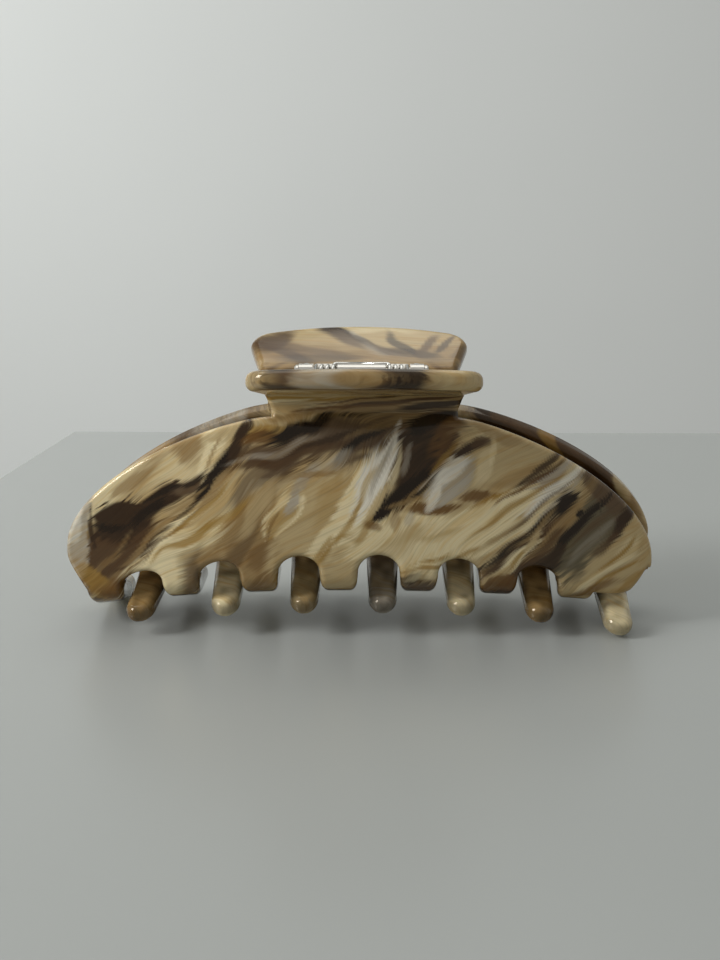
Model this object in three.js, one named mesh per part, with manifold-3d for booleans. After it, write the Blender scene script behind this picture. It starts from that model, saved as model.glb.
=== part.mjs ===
// A large acetate claw clip: two identical die-cut and bent sheet halves, the rear one turned half a
// turn about the vertical, on a small steel spring hinge between the thumb handles.
// Millimetres, +Z up, X along the comb, the front half towards -Y. The origin is under the middle of the
// clip, on the surface that the lowest teeth stand on.
import * as THREE from "three";
import { mergeGeometries, mergeVertices } from "three/addons/utils/BufferGeometryUtils.js";
import Module from "manifold-3d";

// ---- Driving dimensions of one half -------------------------------------------------------------
const SHEET = 3.5; // thickness of the acetate sheet
const LONG_END = 54.95; // reach of the end that carries the outermost finger
const LOBE_END = 54.1; // reach of the other end, a rounded lobe
// The arched upper rim on each side of the middle: its reach, the height of its furthest point, its rise
// above that and its superellipse exponent.
const LONG_ARCH = { reach: LONG_END, low: 15.5, rise: 26.8, power: 1.75 };
const LOBE_ARCH = { reach: LOBE_END, low: 14, rise: 28.7, power: 1.7 };
const RIM_OFFSET = 4.2; // middle of the sheet to the clip's mid-plane, all along the rim
const BULGE = 8; // how much further out the dome stands in its middle
const BULGE_REACH = 56; // where along X the dome has died out
const NECK_HALF = 17; // half width of the neck under the handle
const NECK_SLOPE = 27; // degrees by which the body leaves the neck outwards
const UPPER_PULL = 0.33; // how firmly the section keeps its slope at the rim, as a share of its fall
const LOWER_PULL = 0.4; // and how firmly it ends upright at the finger roots

// Heights in the middle, and how much lower they lie at END_X from it.
const END_X = 50;
const ROOT_Z = 13;
const ROOT_FALL = 5.74;
const NOTCH_Z = 16.4;
const NOTCH_FALL = 7.29;
const TIP_Z = 6;
const LONG_TIP_FALL = 4.76; // towards the long end
const LONG_TIP_POWER = 2.4;
const LOBE_TIP_FALL = 2.81; // towards the lobe

const FINGERS = 7;
const PITCH = 14.57;
const FINGER_LENGTH = 25; // nominal, from root line to tip
const COMB_SHIFT = -4; // middle finger to the middle of the half, so that two halves interlace
const FINGER_ROOT_HALF = 3.5;
const FINGER_TIP_HALF = 2.6;
const FINGER_REACH = 12.6; // how far a tip stands past the clip's mid-plane
const FINGER_DROP = 3.5; // how far a middle finger runs down before it turns in
const FINGER_DROP_END = 2; // and an end one
const FINGER_SWEEP = 0.58; // share of its way across that its last, flatter part takes
const TIP_SLOPE = 0.08; // slope of that part in the middle of the comb
const TIP_SLOPE_END = 0.18; // and at its ends
const TIP_ROUND = 2.2; // rounding of the tip's corners
const LOBE_SPLAY = 1.4; // outward lean of the finger nearest the lobe

const HANDLE_TILT = 72.3; // degrees between the handle and the vertical
const HANDLE_TOP_Z = 50.9; // middle of the sheet at the handle's top edge
const HANDLE_HALF = 20.8;
const HANDLE_SHIFT = 0.6; // towards the lobe end
const HANDLE_CORNER = 5;
const HANDLE_CROWN = 2.6; // rise of the top edge in its middle
const BEND_RADIUS = 4.5; // neck bend, middle of the sheet
const HANDLE_NARROW = 1.5; // up from the rim along the sheet, where the handle starts to widen
const HANDLE_WIDEST = 15.5; // and where it reaches its full width
const FLARE_POWER = 0.85; // widening a little faster at first

const FAN_POWER = 3; // how late down the body its end columns turn towards the fingers
const LONG_FAN = [0, 0.7, 2, 4, 6.4]; // the first finger's columns, back along the rim from the long end
const LOBE_SHARES = [0.25, 0.48, 0.68, 0.85, 0.96, 1]; // extra columns from the last finger to the lobe
const LOBE_LIFT = 0.41; // how far the lobe's lower edge rises at its end, as a share of the body
const LOBE_LIFT_POWER = 5; // and how late along it that rise comes
const LOBE_INSET = 1; // the lobe's lower edge ends this much short of its rim
const LOBE_CURL = 0.1; // how far that edge follows the fingers inwards, one finger row

// Grid steps of the flat pattern.
const BODY_ROWS = 9;
const NOTCH_STEPS = 5;
const FINGER_ROWS = 12;
const TIP_ROWS = 3; // the last finger rows, close together at the rounded tip
const TIP_SHARE = 0.1; // share of the finger that they cover
const BEND_ROWS = 8;
const STRAIGHT_ROWS = 3;
const CORNER_ROWS = 5;

// ---- Driving dimensions of the hinge ------------------------------------------------------------
const STEEL = 0.8; // leaf thickness
const PIN_RADIUS = 1;
const PIN_PLAY = 0.1;
const PIN_HEAD_RADIUS = 1.7;
const PIN_HEAD = 0.7;
const PIN_DOME = 0.25; // bevel of the head's rim
const HINGE_HALF = 11.5; // half length of the knuckle row
const OUTER_KNUCKLE = 2.5; // length of each rear leaf knuckle
const CENTRE_KNUCKLE = 8.8; // length of the front leaf knuckle
const PIN_TO_HANDLE = 0.9; // the pin's axis to the plane of each handle's inner face
const PAD_FACE = -0.3; // a leaf pad's upper face, from the pin's axis
const PAD_START = 2; // the pad, measured outwards from the pin
const PAD_END = 4.3;
const PAD_HALF = 11.4;
const PAD_CORNER = 0.8;
const ARM_LAP = 0.2; // how far a knuckle's arm runs into the pad
const SLOT_X = 8.5; // the slot beside each end tab
const SLOT_WIDTH = 0.5;
const SLOT_DEPTH = 1.4;
const WIRE_RADIUS = 0.375;
const COIL_RADIUS = 1.5;
const COIL_TURNS = 3;
const COIL_END = 8.4; // middle of the wire at a coil's outer end
const COIL_STEPS = 12; // points per turn
const LEG_START = 2.6; // where the straight legs begin along the pads
const LEG_END = 3.8; // the free legs' reach along the front pad
const BRIDGE_OUT = 3.4; // the bridge's place along the rear pad
const BRIDGE_HALF = 5.1; // half width of the spring's middle bridge
const BRIDGE_CORNER = 0.5;
const WIRE_GAP = 0.12; // between a leg and the pad it presses on
const WIRE_STEPS = 150;
const RIVET_X = 10.2;
const RIVET_OUT = 3.15;
const RIVET_RADIUS = 0.7;
const RIVET_PLAY = 0.15;
const RIVET_HEAD_RADIUS = 1;
const RIVET_HEAD = 0.45;
const RIVET_DEPTH = 2.7; // how far it reaches below the plane of the handle's face
const RIVET_GAP = 0.05; // under its head
const HOLE_SPARE = 0.2; // how much deeper its hole is

// ---- Derived values -----------------------------------------------------------------------------
const rad = THREE.MathUtils.degToRad;
const lerp = THREE.MathUtils.lerp;
const tilt = rad(HANDLE_TILT);
const neckSlope = rad(NECK_SLOPE);
// Slope of the handle's top edge where a corner begins.
const crownEnd = Math.atan((2 * HANDLE_CROWN) / (HANDLE_HALF - 0.75 * HANDLE_CORNER));
const CORNER_HEIGHT = HANDLE_CORNER * Math.cos(crownEnd);
const KNUCKLE_INNER = PIN_RADIUS + PIN_PLAY;
const KNUCKLE_OUTER = KNUCKLE_INNER + STEEL;

const WELD = 1e-4; // points closer than this are one

const wasm = await Module();
wasm.setup();

// ---- Solids: three.js geometry in, three.js geometry out ----------------------------------------
function toSolid(geometry) {
  const bare = new THREE.BufferGeometry();
  const source = geometry.index ? geometry.toNonIndexed() : geometry;
  bare.setAttribute("position", source.getAttribute("position"));
  const merged = mergeVertices(bare, WELD);
  return new wasm.Manifold(
    new wasm.Mesh({
      numProp: 3,
      vertProperties: merged.attributes.position.array,
      triVerts: new Uint32Array(merged.index.array),
    }),
  );
}

function toGeometry(solid) {
  const mesh = solid.getMesh();
  const geometry = new THREE.BufferGeometry();
  geometry.setAttribute("position", new THREE.BufferAttribute(mesh.vertProperties, 3));
  geometry.setIndex(new THREE.BufferAttribute(mesh.triVerts, 1));
  return geometry;
}

// ---- The formed sheet ---------------------------------------------------------------------------
// A point of the sheet is (x, t): t runs from -1 at the handle's top edge over 0 at the rim and 1 at the
// finger roots to 2 at the fingertips. "out" is the distance from the clip's mid-plane.
function archHeight(x, { reach, low, rise, power }) {
  const inside = Math.max(0, 1 - (Math.abs(x) / reach) ** power);
  return low + rise * inside ** (1 / power);
}

const NECK_Z = archHeight(NECK_HALF + HANDLE_SHIFT, LOBE_ARCH);

function rimHeight(x) {
  return Math.min(NECK_Z, archHeight(x, x < 0 ? LONG_ARCH : LOBE_ARCH));
}

function domeShare(x) {
  return Math.max(0, 1 - (x / BULGE_REACH) ** 2);
}

function rootHeight(x) {
  return ROOT_Z - ROOT_FALL * (x / END_X) ** 2;
}

function notchHeight(x) {
  return NOTCH_Z - NOTCH_FALL * (x / END_X) ** 2;
}

function tipHeight(x) {
  if (x < 0) return TIP_Z - LONG_TIP_FALL * (-x / END_X) ** LONG_TIP_POWER;
  return TIP_Z - LOBE_TIP_FALL * (x / END_X) ** 2;
}

function bezier(a, b, c, d, t) {
  const s = 1 - t;
  return s * s * s * a + 3 * s * s * t * b + 3 * s * t * t * c + t * t * t * d;
}

// The neck bend and the straight handle above it.
const BEND_ANGLE = tilt + neckSlope;
const BEND_LENGTH = BEND_RADIUS * BEND_ANGLE;
const BEND_TOP_OUT = RIM_OFFSET + BEND_RADIUS * (Math.cos(neckSlope) - Math.cos(tilt));
const BEND_TOP_Z = NECK_Z + BEND_RADIUS * (Math.sin(tilt) + Math.sin(neckSlope));
const HANDLE_TOP_OUT = BEND_TOP_OUT + (HANDLE_TOP_Z - BEND_TOP_Z) * Math.tan(tilt);
const STRAIGHT_LENGTH = (HANDLE_TOP_Z - BEND_TOP_Z) / Math.cos(tilt);
const HANDLE_LENGTH = BEND_LENGTH + STRAIGHT_LENGTH;

function handlePoint(along) {
  if (along < BEND_LENGTH) {
    const lean = along / BEND_RADIUS - neckSlope;
    return [
      RIM_OFFSET + BEND_RADIUS * (Math.cos(neckSlope) - Math.cos(lean)),
      NECK_Z + BEND_RADIUS * (Math.sin(lean) + Math.sin(neckSlope)),
    ];
  }
  const rest = along - BEND_LENGTH;
  return [BEND_TOP_OUT + rest * Math.sin(tilt), BEND_TOP_Z + rest * Math.cos(tilt)];
}

function bodyPoint(x, t) {
  const top = rimHeight(x);
  const root = Math.min(rootHeight(x), top);
  const fall = top - root;
  const share = domeShare(Math.max(Math.abs(x), NECK_HALF)) / domeShare(NECK_HALF);
  const widest = RIM_OFFSET + BULGE * domeShare(x);
  const firstOut = RIM_OFFSET + UPPER_PULL * fall * Math.tan(neckSlope) * share;
  return [
    bezier(RIM_OFFSET, firstOut, widest, widest, t),
    bezier(top, top - UPPER_PULL * fall, root + LOWER_PULL * fall, root, t),
  ];
}

function fingerPoint(x, t) {
  const share = domeShare(x);
  const widest = RIM_OFFSET + BULGE * share;
  const root = rootHeight(x);
  const tip = tipHeight(x);
  const drop = lerp(FINGER_DROP_END, FINGER_DROP, share);
  const run = FINGER_SWEEP * (widest + FINGER_REACH);
  const rise = lerp(TIP_SLOPE_END, TIP_SLOPE, share) * run;
  return [
    bezier(widest, widest, run - FINGER_REACH, -FINGER_REACH, t),
    bezier(root, root - drop, tip + rise, tip, t),
  ];
}

function middle(x, t) {
  let out, z;
  if (t < 0) [out, z] = handlePoint(-t * HANDLE_LENGTH);
  else if (t <= 1) [out, z] = bodyPoint(x, t);
  else [out, z] = fingerPoint(x, t - 1);
  return new THREE.Vector3(x, -out, z);
}

// The sheet's outward normal, from two short steps. Beyond END_X it keeps the sideways slope it has there.
function outward(x, t) {
  const stepT = 0.004;
  const stepX = 0.2;
  const down = middle(x, Math.min(2, t + stepT)).sub(middle(x, Math.max(-1, t - stepT)));
  const inner = THREE.MathUtils.clamp(x, -END_X, END_X);
  const side = middle(inner + stepX, t).sub(middle(inner - stepX, t));
  return new THREE.Vector3().crossVectors(side, down).negate().normalize();
}

// ---- The flat pattern: grids of (x, t) points, welded edge to edge --------------------------------
function grid(columns, rows, place) {
  const plane = new THREE.PlaneGeometry(1, 1, columns, rows);
  plane.deleteAttribute("normal");
  plane.deleteAttribute("uv");
  const points = plane.attributes.position;
  for (let i = 0; i < points.count; i++) {
    const [x, t] = place(points.getX(i) + 0.5, 0.5 - points.getY(i));
    points.setXYZ(i, x, t, 0);
  }
  return plane;
}

const fingerX = (k) => COMB_SHIFT + (k - (FINGERS - 1) / 2) * PITCH;
const fingerSteps = (k) => (k === 0 ? LONG_FAN.length - 1 : 2);

// Lower edge of the body between two fingers: a round arch.
function notchDepth(x, across) {
  const fall = rimHeight(x) - rootHeight(x);
  const rise = (notchHeight(x) - rootHeight(x)) / (3 * LOWER_PULL * fall);
  return rise * Math.sqrt(Math.max(0, 1 - across * across));
}

// The body's columns, each with its x at the root line, its x at the rim and its lower edge.
function bodyColumns() {
  const columns = [];
  const add = (root, rim, bottom, lobe = 0) => columns.push({ root, rim, bottom, lobe });
  for (let k = 0; k < FINGERS; k++) {
    const centre = fingerX(k);
    for (let i = 0; i <= fingerSteps(k); i++) {
      const x = centre + ((2 * i) / fingerSteps(k) - 1) * FINGER_ROOT_HALF;
      add(x, k === 0 ? LONG_FAN[i] - LONG_END : x, 1);
    }
    if (k === FINGERS - 1) continue;
    for (let i = 1; i < NOTCH_STEPS; i++) {
      const across = -Math.cos((Math.PI * i) / NOTCH_STEPS);
      const x = centre + PITCH / 2 + across * (PITCH / 2 - FINGER_ROOT_HALF);
      add(x, x, 1 - notchDepth(x, across));
    }
  }
  const side = columns.at(-1).root;
  for (const share of LOBE_SHARES) {
    const root = lerp(side, LOBE_END - LOBE_INSET, share);
    const rim = lerp(side, LOBE_END, share ** 0.8);
    add(root, rim, 1 - LOBE_LIFT * share ** LOBE_LIFT_POWER, share);
  }
  return columns;
}

function nearest(columns, x) {
  const gaps = columns.map((column) => Math.abs(column.rim - x));
  return gaps.indexOf(Math.min(...gaps));
}

function fingerPlace(k, u, t) {
  const left = (1 - t) * FINGER_LENGTH;
  const inset = Math.max(0, TIP_ROUND - left);
  const round = TIP_ROUND - Math.sqrt(TIP_ROUND ** 2 - inset ** 2);
  const half = lerp(FINGER_ROOT_HALF, FINGER_TIP_HALF, t) - round;
  const splay = k === FINGERS - 1 ? LOBE_SPLAY * t * t : 0;
  return [fingerX(k) + (2 * u - 1) * half + splay, 1 + t];
}

function handlePlace(rim, along) {
  const centre = HANDLE_SHIFT;
  const share = (rim - centre) / NECK_HALF;
  const length = HANDLE_LENGTH - HANDLE_CROWN * share * share;
  const s = along * length;
  const flare = THREE.MathUtils.clamp(
    (s - HANDLE_NARROW) / (HANDLE_WIDEST - HANDLE_NARROW), 0, 1) ** FLARE_POWER;
  const inset = Math.max(0, CORNER_HEIGHT - (length - s));
  const round = HANDLE_CORNER - Math.sqrt(HANDLE_CORNER ** 2 - inset ** 2);
  const half = lerp(NECK_HALF, HANDLE_HALF, flare);
  return [centre + share * (half - round), -s / HANDLE_LENGTH];
}

// A finger's rows from root to tip, as shares of its length.
function fingerRow(row) {
  const straight = FINGER_ROWS - TIP_ROWS;
  if (row <= straight) return ((1 - TIP_SHARE) * row) / straight;
  return 1 - TIP_SHARE + TIP_SHARE * Math.sin(((row - straight) * Math.PI) / (2 * TIP_ROWS));
}

// The handle's rows from neck to top edge, as shares of its length.
function handleRows() {
  const bend = BEND_LENGTH / HANDLE_LENGTH;
  const corner = 1 - CORNER_HEIGHT / HANDLE_LENGTH;
  const rows = [];
  for (let i = 0; i < BEND_ROWS; i++) rows.push((bend * i) / BEND_ROWS);
  for (let i = 0; i < STRAIGHT_ROWS; i++) rows.push(lerp(bend, corner, i / STRAIGHT_ROWS));
  const cornerAngle = Math.PI / 2 - crownEnd;
  for (let i = 0; i <= CORNER_ROWS; i++) {
    const share = Math.sin((cornerAngle * i) / CORNER_ROWS) / Math.sin(cornerAngle);
    rows.push(lerp(corner, 1, share));
  }
  return rows;
}

function flatPattern() {
  const columns = bodyColumns();
  const leftNeck = nearest(columns, HANDLE_SHIFT - NECK_HALF);
  const rightNeck = nearest(columns, HANDLE_SHIFT + NECK_HALF);
  columns[leftNeck].rim = HANDLE_SHIFT - NECK_HALF;
  columns[rightNeck].rim = HANDLE_SHIFT + NECK_HALF;
  const wide = columns.length - 1;
  const parts = [
    grid(wide, BODY_ROWS, (u, v) => {
      const column = columns[Math.round(u * wide)];
      return [lerp(column.rim, column.root, v ** FAN_POWER), v * lerp(1, column.bottom, v)];
    }),
  ];
  for (let k = 0; k < FINGERS; k++) {
    parts.push(
      grid(fingerSteps(k), FINGER_ROWS, (u, v) =>
        fingerPlace(k, u, fingerRow(Math.round(v * FINGER_ROWS))),
      ),
    );
  }
  const lobe = columns.slice(-1 - LOBE_SHARES.length);
  parts.push(
    grid(lobe.length - 1, 1, (u, v) => {
      const { root, bottom, lobe: share } = lobe[Math.round(u * (lobe.length - 1))];
      const t = bottom + LOBE_CURL * v * (1 - share * share);
      const side = fingerPlace(FINGERS - 1, 1, Math.max(0, t - 1))[0] - lobe[0].root;
      return [root + side * (1 - share), t];
    }),
  );
  const neck = columns.slice(leftNeck, rightNeck + 1);
  const rows = handleRows();
  parts.push(
    grid(neck.length - 1, rows.length - 1, (u, v) => {
      const { rim } = neck[Math.round(u * (neck.length - 1))];
      return handlePlace(rim, rows[Math.round((1 - v) * (rows.length - 1))]);
    }),
  );
  return mergeVertices(mergeGeometries(parts), WELD);
}

// The flat pattern formed and given its thickness: an outer face, an inner face and a wall all round.
function formedHalf() {
  const pattern = flatPattern();
  const flat = pattern.attributes.position;
  const count = flat.count;
  const positions = new Float32Array(count * 6);
  for (let i = 0; i < count; i++) {
    const x = flat.getX(i);
    const t = flat.getY(i);
    const centre = middle(x, t);
    const normal = outward(x, t);
    centre.clone().addScaledVector(normal, SHEET / 2).toArray(positions, i * 3);
    centre.clone().addScaledVector(normal, -SHEET / 2).toArray(positions, (count + i) * 3);
  }
  const triangles = [];
  const edges = new Map();
  const index = pattern.index;
  for (let i = 0; i < index.count; i += 3) {
    const [a, b, c] = [index.getX(i), index.getX(i + 1), index.getX(i + 2)];
    if (a === b || b === c || c === a) continue;
    triangles.push(a, b, c, count + a, count + c, count + b);
    for (const edge of [[a, b], [b, c], [c, a]]) edges.set(edge.join(), edge);
  }
  for (const [a, b] of edges.values()) {
    if (edges.has(b + "," + a)) continue;
    triangles.push(b, a, count + a, b, count + a, count + b);
  }
  const geometry = new THREE.BufferGeometry();
  geometry.setAttribute("position", new THREE.BufferAttribute(positions, 3));
  geometry.setIndex(triangles);
  return geometry;
}

// ---- Hinge pieces --------------------------------------------------------------------------------
// They are drawn in the rear handle's own axes, with the pin's axis at the origin: X along the pin, Y up
// along the handle and Z square to it, towards the pin. The front ones are the same, turned half a turn.
const PIN_Z =
  HANDLE_TOP_Z + (PIN_TO_HANDLE + SHEET / 2 - HANDLE_TOP_OUT * Math.cos(tilt)) / Math.sin(tilt);

function placed(object, half) {
  const lean = new THREE.Group();
  lean.rotation.x = Math.PI / 2 - tilt;
  lean.add(object);
  const side = new THREE.Group();
  side.rotation.z = half === "front" ? Math.PI : 0;
  side.position.z = PIN_Z;
  side.add(lean);
  return side;
}

// A solid of revolution about X from a closed profile of [radius, x] points.
function turned(profile, segments = 20) {
  const geometry = new THREE.LatheGeometry(
    profile.map(([radius, x]) => new THREE.Vector2(radius, x)),
    segments,
  );
  return geometry.rotateZ(-Math.PI / 2);
}

function knuckle(from, to) {
  return turned([
    [KNUCKLE_INNER, from],
    [KNUCKLE_OUTER, from],
    [KNUCKLE_OUTER, to],
    [KNUCKLE_INNER, to],
    [KNUCKLE_INNER, from],
  ]);
}

// The leaf's pad: a flat plate with rounded upper corners, a slot beside each end tab, and two rivet holes.
function pad() {
  const outline = new THREE.Shape();
  const slot = (from, to) => {
    outline.lineTo(from, PAD_END);
    outline.lineTo(from, PAD_END - SLOT_DEPTH);
    outline.lineTo(to, PAD_END - SLOT_DEPTH);
    outline.lineTo(to, PAD_END);
  };
  outline.moveTo(-PAD_HALF, PAD_START);
  outline.lineTo(PAD_HALF, PAD_START);
  outline.absarc(PAD_HALF - PAD_CORNER, PAD_END - PAD_CORNER, PAD_CORNER, 0, Math.PI / 2, false);
  slot(SLOT_X + SLOT_WIDTH, SLOT_X);
  slot(-SLOT_X, -SLOT_X - SLOT_WIDTH);
  outline.absarc(PAD_CORNER - PAD_HALF, PAD_END - PAD_CORNER, PAD_CORNER, Math.PI / 2, Math.PI, false);
  outline.closePath();
  for (const x of [-RIVET_X, RIVET_X]) {
    const hole = new THREE.Path();
    hole.absarc(x, RIVET_OUT, RIVET_RADIUS + RIVET_PLAY, 0, 2 * Math.PI, true);
    outline.holes.push(hole);
  }
  const options = { depth: STEEL, bevelEnabled: false, curveSegments: 6 };
  return new THREE.ExtrudeGeometry(outline, options).translate(0, 0, PAD_FACE - STEEL);
}

// A whole leaf: the pad, and an arm and a knuckle for each [from, to] along the pin.
function leaf(knuckles) {
  const bore = turned([
    [0, -HINGE_HALF],
    [KNUCKLE_INNER, -HINGE_HALF],
    [KNUCKLE_INNER, HINGE_HALF],
    [0, HINGE_HALF],
  ]);
  const reach = PAD_START + ARM_LAP;
  let solid = toSolid(pad());
  for (const [from, to] of knuckles) {
    const arm = new THREE.BoxGeometry(to - from, reach, STEEL);
    arm.translate((from + to) / 2, reach / 2, PAD_FACE - STEEL / 2);
    solid = solid.add(toSolid(arm).subtract(toSolid(bore))).add(toSolid(knuckle(from, to)));
  }
  return toGeometry(solid);
}

function hingePin() {
  const neck = HINGE_HALF + PIN_PLAY;
  const end = neck + PIN_HEAD;
  return turned([
    [0, -end],
    [PIN_HEAD_RADIUS - PIN_DOME, -end],
    [PIN_HEAD_RADIUS, -end + PIN_DOME],
    [PIN_HEAD_RADIUS, -neck],
    [PIN_RADIUS, -neck],
    [PIN_RADIUS, neck],
    [PIN_HEAD_RADIUS, neck],
    [PIN_HEAD_RADIUS, end - PIN_DOME],
    [PIN_HEAD_RADIUS - PIN_DOME, end],
    [0, end],
  ]);
}

// A blind rivet: its head lies on the pad and its shank sits in the acetate.
function rivet(x) {
  const seat = PAD_FACE + RIVET_GAP;
  const foot = -PIN_TO_HANDLE - RIVET_DEPTH;
  const geometry = new THREE.LatheGeometry(
    [
      [0, foot],
      [RIVET_RADIUS, foot],
      [RIVET_RADIUS, seat],
      [RIVET_HEAD_RADIUS, seat],
      [RIVET_HEAD_RADIUS * 0.8, seat + RIVET_HEAD * 0.7],
      [0, seat + RIVET_HEAD],
    ].map(([radius, height]) => new THREE.Vector2(radius, height)),
    14,
  );
  return geometry.rotateX(Math.PI / 2).translate(x, RIVET_OUT, 0);
}

// The double torsion spring in the clip's upright axes about the pin: a free leg on the front pad, a coil,
// a bridge across the rear pad, the other coil and the other free leg.
function springPath() {
  const rest = PAD_FACE + WIRE_RADIUS + WIRE_GAP;
  const onPad = (x, along, side) =>
    new THREE.Vector3(
      x,
      side * (along * Math.sin(tilt) - rest * Math.cos(tilt)),
      along * Math.cos(tilt) + rest * Math.sin(tilt),
    );
  const pitch = (COIL_END - BRIDGE_HALF) / COIL_TURNS;
  const points = [onPad(-COIL_END, LEG_END, -1), onPad(-COIL_END, LEG_START, -1)];
  for (let i = 0; i <= COIL_TURNS * COIL_STEPS; i++) {
    const turns = i / COIL_STEPS;
    const across = COIL_RADIUS * Math.sin(2 * Math.PI * turns);
    const up = COIL_RADIUS * Math.cos(2 * Math.PI * turns);
    points.push(new THREE.Vector3(pitch * turns - COIL_END, across, up));
  }
  points.push(onPad(-BRIDGE_HALF, LEG_START, 1));
  points.push(onPad(-BRIDGE_HALF, BRIDGE_OUT - BRIDGE_CORNER, 1));
  points.push(onPad(BRIDGE_CORNER - BRIDGE_HALF, BRIDGE_OUT, 1));
  points.push(onPad(0, BRIDGE_OUT, 1));
  const mirrored = points.slice(0, -1).reverse();
  for (const point of mirrored) points.push(new THREE.Vector3(-point.x, point.y, point.z));
  return new THREE.CatmullRomCurve3(points, false, "centripetal");
}

function spring() {
  const section = new THREE.Shape();
  section.absarc(0, 0, WIRE_RADIUS, 0, 2 * Math.PI, false);
  const options = { steps: WIRE_STEPS, curveSegments: 3, extrudePath: springPath() };
  return new THREE.ExtrudeGeometry(section, options);
}

// ---- Assembly ------------------------------------------------------------------------------------
function finish(color, roughness, metalness) {
  return new THREE.MeshStandardMaterial({ color, roughness, metalness });
}

function piece(name, geometry, material) {
  const mesh = new THREE.Mesh(geometry, material);
  mesh.name = name;
  return mesh;
}

// One half of the clip with blind holes in its handle for the leaf's rivets, in the front half's place.
function clawHalf() {
  let solid = toSolid(formedHalf());
  const radius = RIVET_RADIUS + RIVET_PLAY;
  const deep = RIVET_DEPTH + HOLE_SPARE;
  for (const x of [-RIVET_X, RIVET_X]) {
    // Twice the hole's depth, half of it above the handle's face.
    const drill = new THREE.Mesh(new THREE.CylinderGeometry(radius, radius, 2 * deep, 14));
    drill.geometry.rotateX(Math.PI / 2).translate(x, RIVET_OUT, -PIN_TO_HANDLE);
    placed(drill, "front").updateMatrixWorld(true);
    solid = solid.subtract(toSolid(drill.geometry.applyMatrix4(drill.matrixWorld)));
  }
  return toGeometry(solid);
}

const ACETATE = finish(0xb79c74, 0.12, 0);
const PLATED = finish(0xc9ccd0, 0.3, 1);
const BRIGHT = finish(0xd8dadc, 0.2, 1);

const half = clawHalf();
half.computeBoundingBox();
const pieces = new THREE.Group();
pieces.position.z = -half.boundingBox.min.z; // the lowest teeth stand on the surface below

const front = piece("front_claw", half, ACETATE);
const rear = piece("rear_claw", half.clone(), ACETATE);
rear.rotation.z = Math.PI;
pieces.add(front, rear);

const outer = HINGE_HALF - OUTER_KNUCKLE;
const rearKnuckles = [
  [-HINGE_HALF, -outer],
  [outer, HINGE_HALF],
];
const frontKnuckles = [[-CENTRE_KNUCKLE / 2, CENTRE_KNUCKLE / 2]];
pieces.add(placed(piece("rear_hinge_leaf", leaf(rearKnuckles), PLATED), "rear"));
pieces.add(placed(piece("front_hinge_leaf", leaf(frontKnuckles), PLATED), "front"));
for (const side of ["front", "rear"]) {
  // The front half is turned round, so its own left is at +X of its axes.
  const left = side === "front" ? RIVET_X : -RIVET_X;
  pieces.add(placed(piece(side + "_leaf_rivet_left", rivet(left), BRIGHT), side));
  pieces.add(placed(piece(side + "_leaf_rivet_right", rivet(-left), BRIGHT), side));
}

const axle = new THREE.Group();
axle.position.z = PIN_Z;
axle.add(piece("hinge_pin", hingePin(), PLATED));
axle.add(piece("torsion_spring", spring(), BRIGHT));
pieces.add(axle);

const clip = new THREE.Group();
clip.add(pieces);

export default clip;
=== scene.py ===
"""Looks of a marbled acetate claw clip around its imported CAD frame. Millimetres inside, metres in Blender."""
import math

import bpy
import numpy as np
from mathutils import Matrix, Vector
from mathutils.kdtree import KDTree


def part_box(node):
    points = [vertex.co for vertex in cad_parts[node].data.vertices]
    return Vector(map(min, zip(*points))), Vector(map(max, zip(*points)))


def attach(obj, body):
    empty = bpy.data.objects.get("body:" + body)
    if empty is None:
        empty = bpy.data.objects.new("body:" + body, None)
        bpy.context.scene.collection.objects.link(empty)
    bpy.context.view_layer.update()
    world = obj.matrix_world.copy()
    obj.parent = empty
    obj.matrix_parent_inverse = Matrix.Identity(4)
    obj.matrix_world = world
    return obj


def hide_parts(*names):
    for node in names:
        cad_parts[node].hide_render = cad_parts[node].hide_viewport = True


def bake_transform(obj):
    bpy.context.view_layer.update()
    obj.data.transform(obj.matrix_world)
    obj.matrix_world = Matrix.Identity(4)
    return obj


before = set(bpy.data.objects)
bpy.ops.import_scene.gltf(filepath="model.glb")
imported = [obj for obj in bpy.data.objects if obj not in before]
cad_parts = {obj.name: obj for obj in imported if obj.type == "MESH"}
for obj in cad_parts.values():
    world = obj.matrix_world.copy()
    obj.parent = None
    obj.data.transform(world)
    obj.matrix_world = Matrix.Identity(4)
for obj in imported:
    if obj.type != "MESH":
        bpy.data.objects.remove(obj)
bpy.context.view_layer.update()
MM = 0.001

# ---- The formed sheet ----------------------------------------------------------------------------------
# The dimensions are the CAD's, but for the fingertips' corners, which are rounder here by 0.1.
SHEET = 3.5
LONG_END, LOBE_END = 54.95, 54.1  # reach of the end with the outermost finger, and of the rounded lobe
LONG_ARCH = (LONG_END, 15.5, 26.8, 1.75)  # reach, lowest height, rise and superellipse exponent
LOBE_ARCH = (LOBE_END, 14.0, 28.7, 1.7)
RIM_OFFSET = 4.2  # from the mid-plane of the clip to the middle of the sheet, all along the rim
BULGE, BULGE_REACH = 8.0, 56.0  # how far the dome stands out, and where along x it has died out
NECK_HALF, NECK_SLOPE = 17.0, math.radians(27)
UPPER_PULL, LOWER_PULL = 0.33, 0.4  # how firmly the section keeps its slope at the rim and at the roots
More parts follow.
